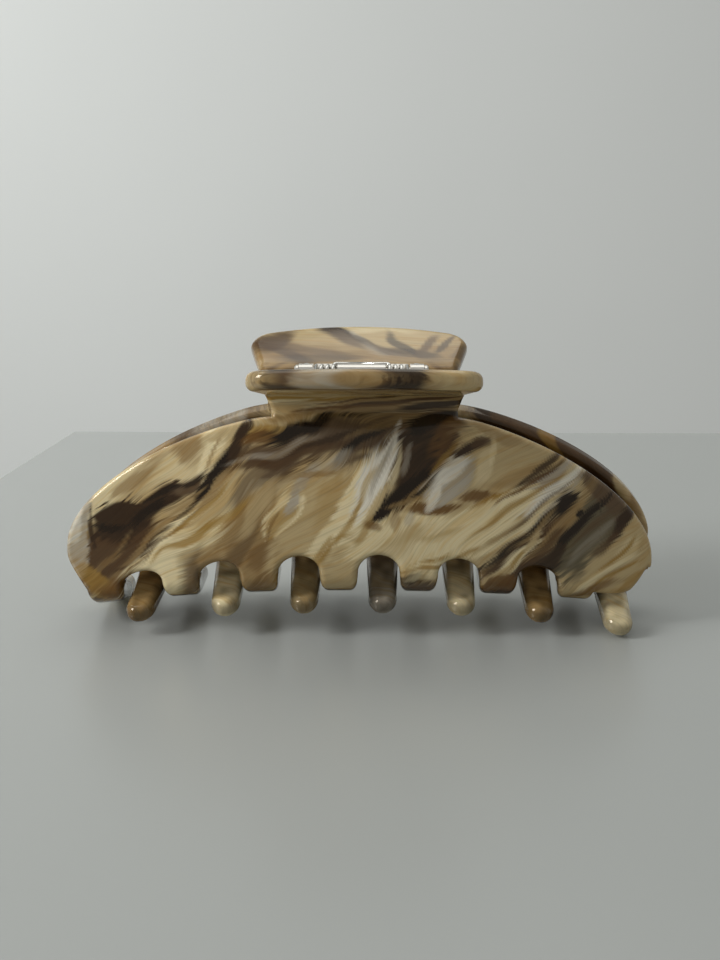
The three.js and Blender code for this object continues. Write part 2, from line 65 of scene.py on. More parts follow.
# Heights in the middle, and how much lower they lie at END_X from it.
END_X = 50.0
ROOT_Z, ROOT_FALL = 13.0, 5.74
NOTCH_Z, NOTCH_FALL = 16.4, 7.29
TIP_Z, LONG_TIP_FALL, LONG_TIP_POWER, LOBE_TIP_FALL = 6.0, 4.76, 2.4, 2.81
FINGERS, PITCH, FINGER_LENGTH, COMB_SHIFT = 7, 14.57, 25.0, -4.0
FINGER_ROOT_HALF, FINGER_TIP_HALF, FINGER_REACH = 3.5, 2.6, 12.6
FINGER_DROP, FINGER_DROP_END, FINGER_SWEEP = 3.5, 2.0, 0.58
TIP_SLOPE, TIP_SLOPE_END, TIP_ROUND, LOBE_SPLAY = 0.08, 0.18, 2.3, 1.4
TILT = math.radians(72.3)
HANDLE_TOP_Z, HANDLE_HALF, HANDLE_SHIFT, HANDLE_CORNER, HANDLE_CROWN = 50.9, 20.8, 0.6, 5.0, 2.6
BEND_RADIUS, HANDLE_NARROW, HANDLE_WIDEST, FLARE_POWER = 4.5, 1.5, 15.5, 0.85  # neck bend and handle flare
LOBE_LIFT, LOBE_LIFT_POWER, LOBE_INSET, LOBE_CURL = 0.41, 5, 1.0, 0.1
FAN_POWER, LONG_FAN, LONG_FAN_POWER = 3, 6.4, 1.65  # how the end columns fan out between rim and fingers
# The polished rounding of the sheet's edges on the plate, the handle and at the fingertips.
EDGE_ROUND, HANDLE_ROUND, TIP_EDGE_ROUND = 1.15, 1.45, 1.6
HANDLE_ROUND_RATE = 3  # the handle's own rounding is reached a third of the way up it
NEAR_EDGE = TIP_EDGE_ROUND + 1  # beyond this, no vertex is near enough to an edge to be rounded
STEP = 0.34  # spacing of the fine mesh
EDGE_SHADE = 0.55  # how much darker the marbling is painted on the rounded edges of the plate and the fingers, as painted shade
# Rows of the fine mesh round a polished edge, in degrees, and the rows elsewhere.
EDGE_ANGLES = (0, 14, 28, 42, 56, 72, 90)
NOTCH_STEPS, BEND_ROWS, CURL_ROWS, FINGER_SAMPLES = 26, 20, 8, 41
PLATE_RUN = 28.0  # length of sheet from the rim to the roots, which sets the plate's rows
NECK_CLOSE = (0, 0.05, 0.15, 0.33, 0.6, 0.9, 1.3)  # extra columns beside each side of the neck
RIM_FADE = 5.0  # length of sheet above the rim in which the rim's own height fades out
LOBE_RIM_POWER = 0.8
TOUCH = 1e-3  # places closer than this are one


def arch(x, reach, low, rise, power):
    inside = np.maximum(0, 1 - (np.abs(x) / reach) ** power)
    return low + rise * inside ** (1 / power)


NECK_Z = float(arch(NECK_HALF + HANDLE_SHIFT, *LOBE_ARCH))
BEND_ANGLE = TILT + NECK_SLOPE
BEND_LENGTH = BEND_RADIUS * BEND_ANGLE
BEND_TOP_OUT = RIM_OFFSET + BEND_RADIUS * (math.cos(NECK_SLOPE) - math.cos(TILT))
BEND_TOP_Z = NECK_Z + BEND_RADIUS * (math.sin(TILT) + math.sin(NECK_SLOPE))
STRAIGHT_LENGTH = (HANDLE_TOP_Z - BEND_TOP_Z) / math.cos(TILT)
HANDLE_TOP_OUT = BEND_TOP_OUT + STRAIGHT_LENGTH * math.sin(TILT)
HANDLE_LENGTH = BEND_LENGTH + STRAIGHT_LENGTH
CROWN_END = math.atan(2 * HANDLE_CROWN / (HANDLE_HALF - 0.75 * HANDLE_CORNER))
CORNER_HEIGHT = HANDLE_CORNER * math.cos(CROWN_END)
PIN_TO_HANDLE = 0.9
PIN_Z = HANDLE_TOP_Z + (PIN_TO_HANDLE + SHEET / 2 - HANDLE_TOP_OUT * math.cos(TILT)) / math.sin(TILT)


def rim_height(x):
    """Rim of the plate, rounded off where it meets the neck."""
    soft = 0.5
    high = np.where(x < 0, arch(x, *LONG_ARCH), arch(x, *LOBE_ARCH))
    return -soft * np.logaddexp(-high / soft, -NECK_Z / soft)


def dome_share(x):
    return np.maximum(0, 1 - (x / BULGE_REACH) ** 2)


def root_height(x):
    return ROOT_Z - ROOT_FALL * (x / END_X) ** 2


def notch_height(x):
    return NOTCH_Z - NOTCH_FALL * (x / END_X) ** 2


def tip_height(x):
    long_side = LONG_TIP_FALL * (np.maximum(-x, 0) / END_X) ** LONG_TIP_POWER
    return TIP_Z - np.where(x < 0, long_side, LOBE_TIP_FALL * (x / END_X) ** 2)


def bezier(a, b, c, d, t):
    s = 1 - t
    return s**3 * a + 3 * s**2 * t * b + 3 * s * t**2 * c + t**3 * d


def handle_point(x, along):
    lean = np.minimum(along, BEND_LENGTH) / BEND_RADIUS - NECK_SLOPE
    rest = np.maximum(along - BEND_LENGTH, 0)
    out = RIM_OFFSET + BEND_RADIUS * (math.cos(NECK_SLOPE) - np.cos(lean)) + rest * math.sin(TILT)
    z = NECK_Z + BEND_RADIUS * (np.sin(lean) + math.sin(NECK_SLOPE)) + rest * math.cos(TILT)
    fade = np.clip(1 - along / RIM_FADE, 0, 1) ** 2
    return out, z + (rim_height(x) - NECK_Z) * fade


def body_point(x, t):
    top = rim_height(x)
    fall = top - np.minimum(root_height(x), top)
    root = top - fall
    beyond = 2 * np.logaddexp(np.abs(x) / 2, NECK_HALF / 2)
    share = dome_share(beyond) / dome_share(NECK_HALF)
    widest = RIM_OFFSET + BULGE * dome_share(x)
    first = RIM_OFFSET + UPPER_PULL * fall * math.tan(NECK_SLOPE) * share
    out = bezier(RIM_OFFSET, first, widest, widest, t)
    return out, bezier(top, top - UPPER_PULL * fall, root + LOWER_PULL * fall, root, t)


def finger_point(x, t):
    share = dome_share(x)
    widest = RIM_OFFSET + BULGE * share
    root, tip = root_height(x), tip_height(x)
    drop = FINGER_DROP_END + (FINGER_DROP - FINGER_DROP_END) * share
    run = FINGER_SWEEP * (widest + FINGER_REACH)
    rise = (TIP_SLOPE_END + (TIP_SLOPE - TIP_SLOPE_END) * share) * run
    out = bezier(widest, widest, run - FINGER_REACH, -FINGER_REACH, t)
    return out, bezier(root, root - drop, tip + rise, tip, t)


def middle(x, t):
    """Middle of the front half's sheet. t is -1 at the handle's top, 0 at the rim, 1 to 2 along a finger."""
    handle = handle_point(x, np.maximum(-t, 0) * HANDLE_LENGTH)
    body = body_point(x, np.clip(t, 0, 1))
    finger = finger_point(x, np.clip(t - 1, 0, 1))
    out, z = (np.where(t < 0, h, np.where(t <= 1, b, f)) for h, b, f in zip(handle, body, finger))
    return np.stack([x, -out, z], -1)


def outward(x, t):
    step_t, step_x = 0.004, 0.2
    down = middle(x, np.minimum(2, t + step_t)) - middle(x, np.maximum(-1, t - step_t))
    inner = np.clip(x, -END_X, END_X)
    side = middle(inner + step_x, t) - middle(inner - step_x, t)
    normal = -np.cross(side, down)
    return normal / np.linalg.norm(normal, axis=-1, keepdims=True)


# ---- The flat pattern: grids of (x, t), welded edge to edge --------------------------------------------
def graded(length, spacing, ends=(True, True), rounding=EDGE_ROUND):
    """Places from 0 to length, spacing apart, and close together within the rounding of each true edge."""
    near = [rounding * (1 - math.cos(math.radians(a))) for a in EDGE_ANGLES]
    low = near if ends[0] else [0.0]
    high = [length - d for d in reversed(near)] if ends[1] else [length]
    count = max(1, round((high[0] - low[-1]) / spacing))
    inside = [low[-1] + (high[0] - low[-1]) * i / count for i in range(1, count)]
    return np.array(low + inside + high)


def finger_x(k):
    return COMB_SHIFT + (k - (FINGERS - 1) / 2) * PITCH


def notch_depth(x, across):
    fall = rim_height(x) - root_height(x)
    rise = (notch_height(x) - root_height(x)) / (3 * LOWER_PULL * fall)
    return rise * np.sqrt(np.maximum(0, 1 - across * across))


class Pattern:
    """Grid points in the flat sheet, each with the (x, t) that places it."""

    def __init__(self):
        self.points, self.faces, self.index = [], [], {}

    def vertex(self, x, t):
        key = (round(float(x), 4), round(float(t), 5))
        if key not in self.index:
            self.index[key] = len(self.points)
            self.points.append(key)
        return self.index[key]

    def grid(self, xs, ts):
        """xs and ts are arrays of rows by columns."""
        ids = [[self.vertex(x, t) for x, t in zip(row_x, row_t)] for row_x, row_t in zip(xs, ts)]
        for upper, lower in zip(ids, ids[1:]):
            for a, b, c, d in zip(upper, upper[1:], lower[1:], lower):
                corners = list(dict.fromkeys((a, d, c, b)))
                if len(corners) > 2:
                    self.faces.append(corners)


def comb_columns():
    """Body columns as rows of (x at the roots, x at the rim, lower end, kind, finger or share)."""
    neck_sides = [HANDLE_SHIFT - NECK_HALF, HANDLE_SHIFT + NECK_HALF]
    extra = [neck_sides[0] + d for d in NECK_CLOSE] + [neck_sides[1] - d for d in NECK_CLOSE]
    across_finger = graded(2 * FINGER_ROOT_HALF, STEP) - FINGER_ROOT_HALF
    notch_half = PITCH / 2 - FINGER_ROOT_HALF
    columns = []
    for k in range(FINGERS):
        centre = finger_x(k)
        xs = set(np.round(centre + across_finger, 4))
        xs |= {round(x, 4) for x in extra if abs(x - centre) < FINGER_ROOT_HALF - TOUCH}
        columns += [(x, 1.0, "finger", k) for x in sorted(xs)]
        if k == FINGERS - 1:
            continue
        mid = centre + PITCH / 2
        turns = [math.pi * i / NOTCH_STEPS for i in range(1, NOTCH_STEPS)]
        xs = {round(mid - notch_half * math.cos(turn), 4) for turn in turns}
        xs |= {round(x, 4) for x in extra if abs(x - mid) < notch_half - TOUCH}
        for x in sorted(xs):
            columns.append((x, 1 - float(notch_depth(x, (x - mid) / notch_half)), "notch", k))
    rows = []
    first_right = finger_x(0) + FINGER_ROOT_HALF
    for x, bottom, kind, k in columns:
        if kind == "finger" and k == 0:
            u = (x - finger_x(0)) / (2 * FINGER_ROOT_HALF) + 0.5
            rim = -LONG_END + LONG_FAN * max(0.0, u) ** LONG_FAN_POWER
        else:
            # The fan closes up again across the first notch.
            fade = np.clip(1 - (x - first_right) / (2 * notch_half), 0, 1) ** 2
            rim = x + (LONG_FAN - LONG_END - first_right) * fade
        rows.append((x, float(rim), bottom, kind, k))
    side = rows[-1][0]
    reach = LOBE_END - side
    for share in (graded(reach, STEP, (False, True)) / reach)[1:]:
        root = side + (LOBE_END - LOBE_INSET - side) * share
        rim = side + reach * share**LOBE_RIM_POWER
        rows.append((root, rim, 1 - LOBE_LIFT * share**LOBE_LIFT_POWER, "lobe", share))
    return rows


def finger_place(k, u, t):
    left = (1 - t) * FINGER_LENGTH
    inset = np.maximum(0, TIP_ROUND - left)
    turn = TIP_ROUND - np.sqrt(np.maximum(0, TIP_ROUND**2 - inset**2))
    half = FINGER_ROOT_HALF + (FINGER_TIP_HALF - FINGER_ROOT_HALF) * t - turn
    splay = LOBE_SPLAY * t * t if k == FINGERS - 1 else 0
    return finger_x(k) + (2 * u - 1) * half + splay


def handle_place(share, along):
    length = HANDLE_LENGTH - HANDLE_CROWN * share * share
    s = along * length
    flare = np.clip((s - HANDLE_NARROW) / (HANDLE_WIDEST - HANDLE_NARROW), 0, 1) ** FLARE_POWER
    inset = np.maximum(0, CORNER_HEIGHT - (length - s))
    turn = HANDLE_CORNER - np.sqrt(HANDLE_CORNER**2 - inset**2)
    half = NECK_HALF + (HANDLE_HALF - NECK_HALF) * flare
    return HANDLE_SHIFT + share * (half - turn), -s / HANDLE_LENGTH


def flat_pattern():
    pattern = Pattern()
    columns = comb_columns()
    root = np.array([c[0] for c in columns])
    rim = np.array([c[1] for c in columns])
    bottom = np.array([c[2] for c in columns])
    v = (graded(PLATE_RUN, STEP) / PLATE_RUN)[:, None]
    pattern.grid(rim + (root - rim) * v**FAN_POWER, v * (1 + (bottom - 1) * v))
    finger_rows = graded(FINGER_LENGTH, 1.5 * STEP, (False, True), TIP_EDGE_ROUND) / FINGER_LENGTH
    below_curl = finger_rows[finger_rows > LOBE_CURL + 0.01]
    finger_rows = np.concatenate([np.linspace(0, LOBE_CURL, CURL_ROWS + 1), below_curl])
    for k in range(FINGERS):
        xs = np.array([c[0] for c in columns if c[3] == "finger" and c[4] == k])
        u = (xs - finger_x(k)) / (2 * FINGER_ROOT_HALF) + 0.5
        t = finger_rows[:, None]
        pattern.grid(finger_place(k, u[None, :], t), 1 + t + 0 * u[None, :])
    # The lobe's lower edge curls in beside the last finger.
    last = max(i for i, c in enumerate(columns) if c[3] == "finger")
    share = np.array([0.0] + [c[4] for c in columns[last + 1 :]])
    base = np.array([1.0] + [c[2] for c in columns[last + 1 :]])
    x0 = np.array([columns[last][0]] + [c[0] for c in columns[last + 1 :]])
    w = np.linspace(0, 1, CURL_ROWS + 1)[:, None]
    t = base + LOBE_CURL * w * (1 - share * share)
    lean = finger_place(FINGERS - 1, 1.0, np.maximum(0, t - 1)) - x0[0]
    pattern.grid(x0 + lean * (1 - share), t)
    neck = rim[np.abs(rim - HANDLE_SHIFT) < NECK_HALF + TOUCH]
    bend_rows = np.linspace(0, BEND_LENGTH, BEND_ROWS + 1)[:-1]
    straight_rows = BEND_LENGTH + graded(STRAIGHT_LENGTH, STEP, (False, True), HANDLE_ROUND)
    rows = np.concatenate([bend_rows, straight_rows]) / HANDLE_LENGTH
    shares = (neck - HANDLE_SHIFT) / NECK_HALF
    pattern.grid(*handle_place(shares[None, :], rows[::-1][:, None]))
    return pattern


def formed_half():
    """Vertices in mm, faces, and each vertex's (x, height) on the sheet, depth in it, and t."""
    pattern = flat_pattern()
    x, t = np.array(pattern.points).T
    mid, normal = middle(x, t), outward(x, t)
    edges = {}
    for face in pattern.faces:
        for a, b in zip(face, face[1:] + face[:1]):
            edges[(a, b)] = True
    border = [(a, b) for a, b in edges if (b, a) not in edges]
    ends = {}
    for a, b in border:
        ends.setdefault(a, []).append(b)
        ends.setdefault(b, []).append(a)
    tree = KDTree(len(ends))
    for a in ends:
        tree.insert(mid[a], a)
    tree.balance()
    distance = np.zeros(len(mid))
    for i, p in enumerate(mid):
        if i in ends:
            continue
        best = tree.find(p)[2]
        if best > NEAR_EDGE:
            distance[i] = best
            continue
        for _, a, _ in tree.find_n(p, 2):
            for b in ends[a]:
                along = mid[b] - mid[a]
                share = min(1.0, max(0.0, float((p - mid[a]) @ along) / float(along @ along)))
                best = min(best, float(np.linalg.norm(p - mid[a] - share * along)))
        distance[i] = best
    half = SHEET / 2
    rounding = EDGE_ROUND + (HANDLE_ROUND - EDGE_ROUND) * np.clip(-HANDLE_ROUND_RATE * t, 0, 1)
    rounding = rounding + (TIP_EDGE_ROUND - EDGE_ROUND) * np.clip(t - 1, 0, 1)
    left = np.maximum(0, rounding - distance)
    thick = half - rounding + np.sqrt(rounding**2 - left**2)
    count = len(mid)
    points = np.concatenate([mid + normal * thick[:, None], mid - normal * thick[:, None]])
    faces = [list(f) for f in pattern.faces]
    faces += [[count + i for i in reversed(f)] for f in pattern.faces]
    faces += [[b, a, count + a, count + b] for a, b in border]
    # Height on the flat sheet: the real height on the plate, then the length of sheet up the handle and
    # along the middle finger.
    finger_steps = np.linspace(0, 1, FINGER_SAMPLES)
    curve = np.stack(finger_point(finger_x(FINGERS // 2) + 0 * finger_steps, finger_steps), -1)
    run = np.concatenate([[0], np.cumsum(np.linalg.norm(np.diff(curve, axis=0), axis=1))])
    height = np.where(t < 0, NECK_Z - t * HANDLE_LENGTH, mid[:, 2])
    height = np.where(t > 1, root_height(x) - np.interp(t - 1, finger_steps, run), height)
    sheet = np.stack([x, height], -1)
    depth = np.concatenate([thick, -thick])
    return points, faces, np.concatenate([sheet, sheet]), depth, np.concatenate([t, t])


# ---- Marbling: listed strokes of colour on the flat sheet ----------------------------------------------
def srgb(r, g, b):
    """A colour as seen, 0 to 255, in linear light."""
    c = np.array([r, g, b]) / 255
    return np.where(c <= 0.04045, c / 12.92, ((c + 0.055) / 1.055) ** 2.4)


CREAM = srgb(228, 213, 172)
BEIGE = srgb(188, 167, 124)
TAN = srgb(150, 124, 82)
HONEY = srgb(158, 124, 56)
AMBER = srgb(104, 72, 32)
BROWN = srgb(78, 56, 34)
UMBER = srgb(50, 34, 20)
BLACK = srgb(22, 13, 8)
WHITE = srgb(226, 222, 208)
GREY = srgb(172, 164, 148)
GREEN_GREY = srgb(98, 90, 70)
SMOKE = srgb(92, 74, 54)

# x and height of the middle, half length, half width, degrees from the horizontal, colour, cover, softness
FRONT_STROKES = [
    # Broad grounds.
    (-37, 31, 14, 6, 40, BEIGE, 0.9, 0.5),
    (-44, 15, 12, 7, 45, BROWN, 1, 0.4),
    (-20, 20, 10, 6, 62, TAN, 1, 0.6),
    (-7, 34.5, 16, 4.5, 12, SMOKE, 1, 0.45),
    (-8, 25, 8, 6, 65, BEIGE, 0.95, 0.6),
    (12, 35.5, 9, 6, 20, BROWN, 1, 0.5),
    (10, 19, 14, 6, 12, CREAM, 0.9, 0.5),
    (27, 33, 11, 6, -32, BEIGE, 1, 0.4),
    (30, 15.5, 12, 5, 38, BROWN, 1, 0.5),
    (41.5, 20, 11, 5, 48, GREEN_GREY, 1, 0.35),
    (47.5, 12.5, 10, 5.5, 40, BEIGE, 1, 0.4),
    (44.5, 26.5, 6, 3, -44, SMOKE, 1, 0.5),
    # Upper left: beige and cream above the dark wedge.
    (-31, 33.5, 9, 4.5, 34, CREAM, 0.55, 0.6),
    (-44.5, 26.3, 9, 1.8, 46, CREAM, 0.8, 0.5),
    (-38, 31, 7, 1.2, 42, TAN, 0.5, 0.6),
    (-41.5, 27.5, 4, 1, 36, TAN, 0.7, 0.6),
    (-31, 34.3, 2.8, 2, 60, TAN, 0.9, 0.8),
    (-27.5, 33.5, 6, 1.1, 68, CREAM, 0.95, 0.35),
    (-25.6, 35.2, 5.5, 0.6, 64, TAN, 0.8, 0.4),
    (-24.6, 35.6, 5, 0.55, 62, CREAM, 0.9, 0.4),
    (-20.5, 38.8, 7, 1.4, 18, BEIGE, 0.9, 0.5),
    (-17, 37.3, 5, 1, 14, HONEY, 0.8, 0.5),
    # The dark wedge, and the band that runs on from it up to the neck.
    (-43.8, 20.4, 5.5, 2.4, 20, UMBER, 1, 0.5),
    (-46, 20.6, 2.6, 1.3, 4, BLACK, 0.9, 0.6),
    (-43, 22.6, 6.5, 1.6, 14, UMBER, 1, 0.2),
    (-36, 25, 6, 2, 26, UMBER, 1, 0.25),
    (-31.5, 27.6, 4, 1.4, 34, SMOKE, 1, 0.4),
    (-38.5, 22.6, 4, 1, 34, BLACK, 0.9, 0.5),
    (-36, 26.3, 4, 0.5, 22, BLACK, 0.8, 0.5),
    (-30.2, 28.8, 3, 0.6, 34, BLACK, 0.8, 0.4),
    (-28.5, 27.6, 4.2, 1.2, 46, BLACK, 1, 0.35),
    (-24, 32.2, 4.8, 1.7, 52, BLACK, 1, 0.4),
    (-22, 35.4, 4, 1.2, 64, UMBER, 1, 0.5),
    (-20.2, 34, 4.5, 0.8, 56, BROWN, 0.8, 0.5),
    # Diagonal streaks over the brown ground below the wedge.
    (-37, 19.5, 10, 0.8, 43, TAN, 0.7, 0.5),
    (-35.2, 20.2, 10, 0.45, 43, UMBER, 0.8, 0.4),
    (-40, 14.5, 8, 0.7, 46, SMOKE, 0.8, 0.5),
    (-43, 11.5, 7, 1, 40, TAN, 0.55, 0.6),
    (-46.5, 14, 6, 0.6, 50, TAN, 0.45, 0.6),
    (-41, 19.3, 6, 0.4, 42, UMBER, 0.7, 0.4),
    (-52.6, 17.5, 8.5, 2.5, 80, GREY, 0.95, 0.3),
    (-52.6, 19.5, 4, 1.4, 78, WHITE, 0.6, 0.6),
    (-49.2, 18.6, 3.6, 0.5, 88, UMBER, 0.9, 0.4),
    (-48.5, 8.6, 6, 1.6, -40, HONEY, 0.7, 0.6),
    (-44, 8, 4.5, 1.8, 8, AMBER, 0.8, 0.6),
    # The cream diagonal.
    (-31.5, 18.6, 14, 3.2, 39, CREAM, 1, 0.4),
    (-25, 25, 9, 1.6, 40, BEIGE, 0.9, 0.4),
    (-34, 19.6, 7, 0.4, 42, BROWN, 0.6, 0.4),
    (-29.5, 23.4, 8, 0.45, 40, HONEY, 0.8, 0.4),
    (-31.5, 18, 8, 0.8, 34, HONEY, 0.85, 0.5),
    (-24.5, 22.4, 6, 1, 30, HONEY, 0.75, 0.5),
    (-26, 27.5, 6, 0.7, 42, TAN, 0.8, 0.4),
    (-36, 12, 5, 2.6, 30, CREAM, 0.95, 0.5),
    (-33.6, 10, 3, 1.4, 40, CREAM, 0.7, 0.6),
    (-30.7, 11, 5, 2, 70, BROWN, 0.8, 1),
    (-26.5, 14.6, 3.5, 1.4, 30, TAN, 0.9, 0.6),
    # The tan middle left.
    (-22, 16, 7, 1.4, 66, BROWN, 0.6, 0.9),
    (-19.6, 28.5, 7, 1.6, 46, SMOKE, 0.7, 0.7),
    (-17.5, 15.5, 2.6, 2, 70, AMBER, 0.6, 0.9),
    (-18.6, 24, 6, 1, 60, BEIGE, 0.6, 0.7),
    (-21.5, 11, 4, 1.8, 10, TAN, 0.9, 0.6),
    (-17.3, 10.5, 3, 1.6, 40, AMBER, 0.6, 0.8),
    (-11.5, 13.6, 6, 1.6, 36, HONEY, 0.75, 0.6),
    (-13.8, 24.2, 5.2, 2.1, 60, CREAM, 0.85, 0.2),
    (-14.3, 23, 4, 1.5, 62, HONEY, 0.75, 0.35),
    (-12.8, 26.4, 2.4, 0.8, 58, GREY, 0.9, 0.4),
    (-15.8, 21.6, 2.6, 0.35, 78, AMBER, 0.5, 0.5),
    (-6, 25.5, 5, 2.6, 66, HONEY, 0.4, 0.9),
    (-10.5, 29.2, 3.4, 0.9, 40, GREY, 0.8, 0.5),
    (-8.5, 30.4, 5, 0.5, 6, TAN, 0.8, 0.5),
    (-5, 19.4, 9, 1.4, 42, CREAM, 0.85, 0.5),
    (-8.5, 15.6, 6, 0.4, 40, HONEY, 0.7, 0.5),
    (-6.5, 16.2, 7, 0.35, 42, HONEY, 0.7, 0.5),
    (-5, 11.5, 4, 2.4, 40, BEIGE, 0.9, 0.6),
    # The dark top.
    (-16.5, 32.2, 7, 1, 16, BROWN, 0.9, 0.6),
    (-14, 34.2, 8, 0.7, 16, GREY, 0.45, 0.7),
    (-9, 33.8, 9, 0.8, 10, BROWN, 0.8, 0.6),
    (-17.2, 36.3, 3.6, 1.1, 10, AMBER, 0.9, 0.6),
    (-11.4, 37.3, 5.4, 1.5, 10, BLACK, 1, 0.5),
    (-7, 38.6, 4, 1.3, 40, BLACK, 1, 0.5),
    (-1, 39.9, 7, 0.9, 6, BLACK, 0.95, 0.5),
    (0, 37.6, 7, 1.7, 10, SMOKE, 0.9, 0.6),
    (-2.4, 33.6, 3.6, 0.9, 32, BLACK, 1, 0.4),
    (1.2, 35.6, 3.4, 0.7, 34, BLACK, 0.9, 0.5),
    (-4, 32.4, 3, 0.8, 20, GREY, 0.6, 0.6),
    (-5, 35.6, 8, 0.5, 14, UMBER, 0.8, 0.5),
    (5, 38.2, 7, 0.7, 20, TAN, 0.5, 0.6),
    (9, 36.6, 6, 1.1, 26, UMBER, 0.9, 0.6),
    (12, 38.6, 4, 1.3, 14, BLACK, 1, 0.5),
    (16.5, 39.6, 4, 1.1, 24, BLACK, 1, 0.5),
    (14.5, 35.2, 6, 1.6, 46, AMBER, 0.8, 0.7),
    # The feather and the dark behind it.
    (9.3, 31, 6, 2.6, 62, UMBER, 1, 0.5),
    (8, 28, 6.5, 1.6, 40, BLACK, 1, 0.4),
    (5.2, 25.3, 5, 0.9, 36, BLACK, 1, 0.3),
    (11.5, 29, 4.5, 1.2, 44, BLACK, 0.9, 0.5),
    (13, 24.8, 5, 1.3, 2, AMBER, 0.95, 0.5),
    (9.5, 26.6, 4, 0.4, 16, TAN, 0.7, 0.8),
    (10.5, 28.6, 3, 0.35, 40, TAN, 0.6, 0.8),
    (8.6, 33.2, 3.4, 0.6, 70, GREY, 0.45, 0.6),
    (0.2, 26.5, 8, 2.6, 58, CREAM, 1, 0.3),
    (2.9, 30, 7.2, 2, 60, WHITE, 0.95, 0.3),
    (4.9, 32.6, 5, 0.9, 74, WHITE, 0.9, 0.35),
    (1.6, 28, 7, 0.5, 60, BEIGE, 0.8, 0.8),
    (4, 31.5, 5, 0.4, 68, GREY, 0.8, 0.8),
    (3, 25.6, 4, 0.6, 56, BEIGE, 0.8, 0.5),
    (6.7, 32, 4, 0.5, 76, CREAM, 0.6, 0.8),
    (-1.6, 22.4, 5, 0.4, 62, HONEY, 0.7, 0.5),
    (0.4, 20.8, 3.4, 0.8, 60, HONEY, 0.6, 0.6),
    (2, 22.2, 1.6, 0.7, -10, AMBER, 0.7, 0.6),
    # The pale patch and the ring above it.
    (16, 29.6, 5.6, 2.7, 48, GREY, 1, 0.25),
    (13.4, 27, 3, 1.2, 62, WHITE, 0.8, 0.4),
    (16.4, 31.4, 3.6, 1.4, 30, WHITE, 0.75, 0.5),
    (19.4, 29.5, 3, 1, 70, GREY, 0.6, 0.6),
    (15.5, 33.6, 3.4, 0.6, 42, HONEY, 0.6, 0.6),
    (19.8, 34.4, 2.8, 0.9, 26, UMBER, 1, 0.45),
    (21.6, 35.6, 1.6, 0.7, 40, BROWN, 0.9, 0.5),
    (20.6, 36.4, 3, 0.35, 22, CREAM, 0.5, 0.6),
    (23, 34.2, 2.6, 0.35, 84, CREAM, 0.5, 0.6),
    (21.6, 31.5, 4, 1, 76, CREAM, 0.5, 0.7),
    (25, 37, 6, 1, -28, TAN, 0.6, 0.6),
    (28, 29.5, 6, 1.2, 16, TAN, 0.5, 0.8),
    (21, 26.4, 3, 1, 2, AMBER, 0.9, 0.6),
    (24.6, 25.6, 4, 0.7, 18, HONEY, 0.9, 0.5),
    # The cream and honey ground of the middle right.
    (6.3, 22.8, 1.6, 1, 80, TAN, 0.6, 0.7),
    (8.6, 22.6, 1.6, 0.8, 80, GREY, 0.5, 0.7),
    (12, 20, 8, 1.6, 8, HONEY, 0.45, 0.8),
    (18.4, 22.6, 8, 1.2, 20, CREAM, 0.8, 0.5),
    (6, 17.5, 6, 2, 30, BEIGE, 0.6, 0.8),
    (17, 17.2, 9, 0.5, 24, HONEY, 0.85, 0.5),
    (21, 18.6, 10, 0.8, 26, CREAM, 0.9, 0.5),
    (22.6, 20.3, 9, 0.4, 28, HONEY, 0.9, 0.4),
    (15, 14.8, 7, 0.5, 18, HONEY, 0.8, 0.5),
    # The long diagonal streaks.
    (26.5, 24, 15, 2, 33, CREAM, 1, 0.3),
    (36.5, 29.7, 5.6, 2, 24, GREY, 1, 0.25),
    (38.6, 29.6, 3, 1.1, 20, CREAM, 0.6, 0.5),
    (32.4, 31, 5.5, 0.55, 34, UMBER, 0.9, 0.4),
    (30.2, 28.2, 8, 0.4, 32, AMBER, 0.9, 0.4),
    (33.5, 30.4, 5, 0.4, 28, BROWN, 0.8, 0.8),
    (28.5, 24.6, 12, 0.5, 33, HONEY, 0.8, 0.8),
    (31, 23.2, 11, 0.45, 34, TAN, 0.7, 0.8),
    (34.5, 26.4, 7, 1, 32, WHITE, 0.9, 0.35),
    (33.6, 24.9, 7, 0.3, 34, SMOKE, 0.7, 0.4),
    (35.6, 24.6, 5, 0.5, 36, GREY, 0.8, 0.4),
    (37.6, 24, 2.8, 1.5, 34, BLACK, 1, 0.4),
    (34.5, 22.3, 5, 0.9, 30, BLACK, 0.9, 0.5),
    (39.6, 28.4, 1.6, 0.5, 60, GREY, 0.6, 0.5),
    (36.6, 20.4, 7, 1.2, 42, TAN, 0.9, 0.4),
    (38.2, 19.4, 9, 0.7, 46, BLACK, 1, 0.4),
    (41.3, 26.3, 3.6, 0.6, 64, TAN, 0.5, 0.6),
    (40, 22.6, 0.9, 0.5, 40, BLACK, 1, 0.5),
    # The brown ground under them, with its cream strokes.
    (26, 18.6, 10, 0.6, 34, CREAM, 0.8, 0.4),
    (28.4, 18.4, 8, 0.35, 36, BLACK, 0.9, 0.4),
    (25.6, 15.6, 6, 0.4, 36, BLACK, 0.8, 0.4),
    (31.5, 20, 5, 0.5, 38, TAN, 0.7, 0.5),
    (27.6, 14.7, 6.5, 1.3, 44, CREAM, 0.95, 0.35),
    (28.6, 14.6, 5, 0.5, 48, HONEY, 0.85, 0.5),
    (31, 18, 2, 0.7, 64, BEIGE, 0.9, 0.5),
    (24.2, 11.6, 3.4, 0.9, 30, BEIGE, 0.8, 0.5),
    (31.5, 12.6, 4.5, 1, 20, BLACK, 0.95, 0.5),
    (34.3, 14.6, 3.4, 1, 44, UMBER, 0.9, 0.5),
    (26, 10.6, 6, 1.2, 14, AMBER, 0.9, 0.6),
    (34.5, 17.6, 4, 0.6, 40, BROWN, 0.8, 0.5),
    # The green-grey field and the right end.
    (43.5, 22, 6, 0.8, 44, SMOKE, 0.7, 0.6),
    (41.5, 17.5, 5, 0.8, 44, GREY, 0.3, 0.8),
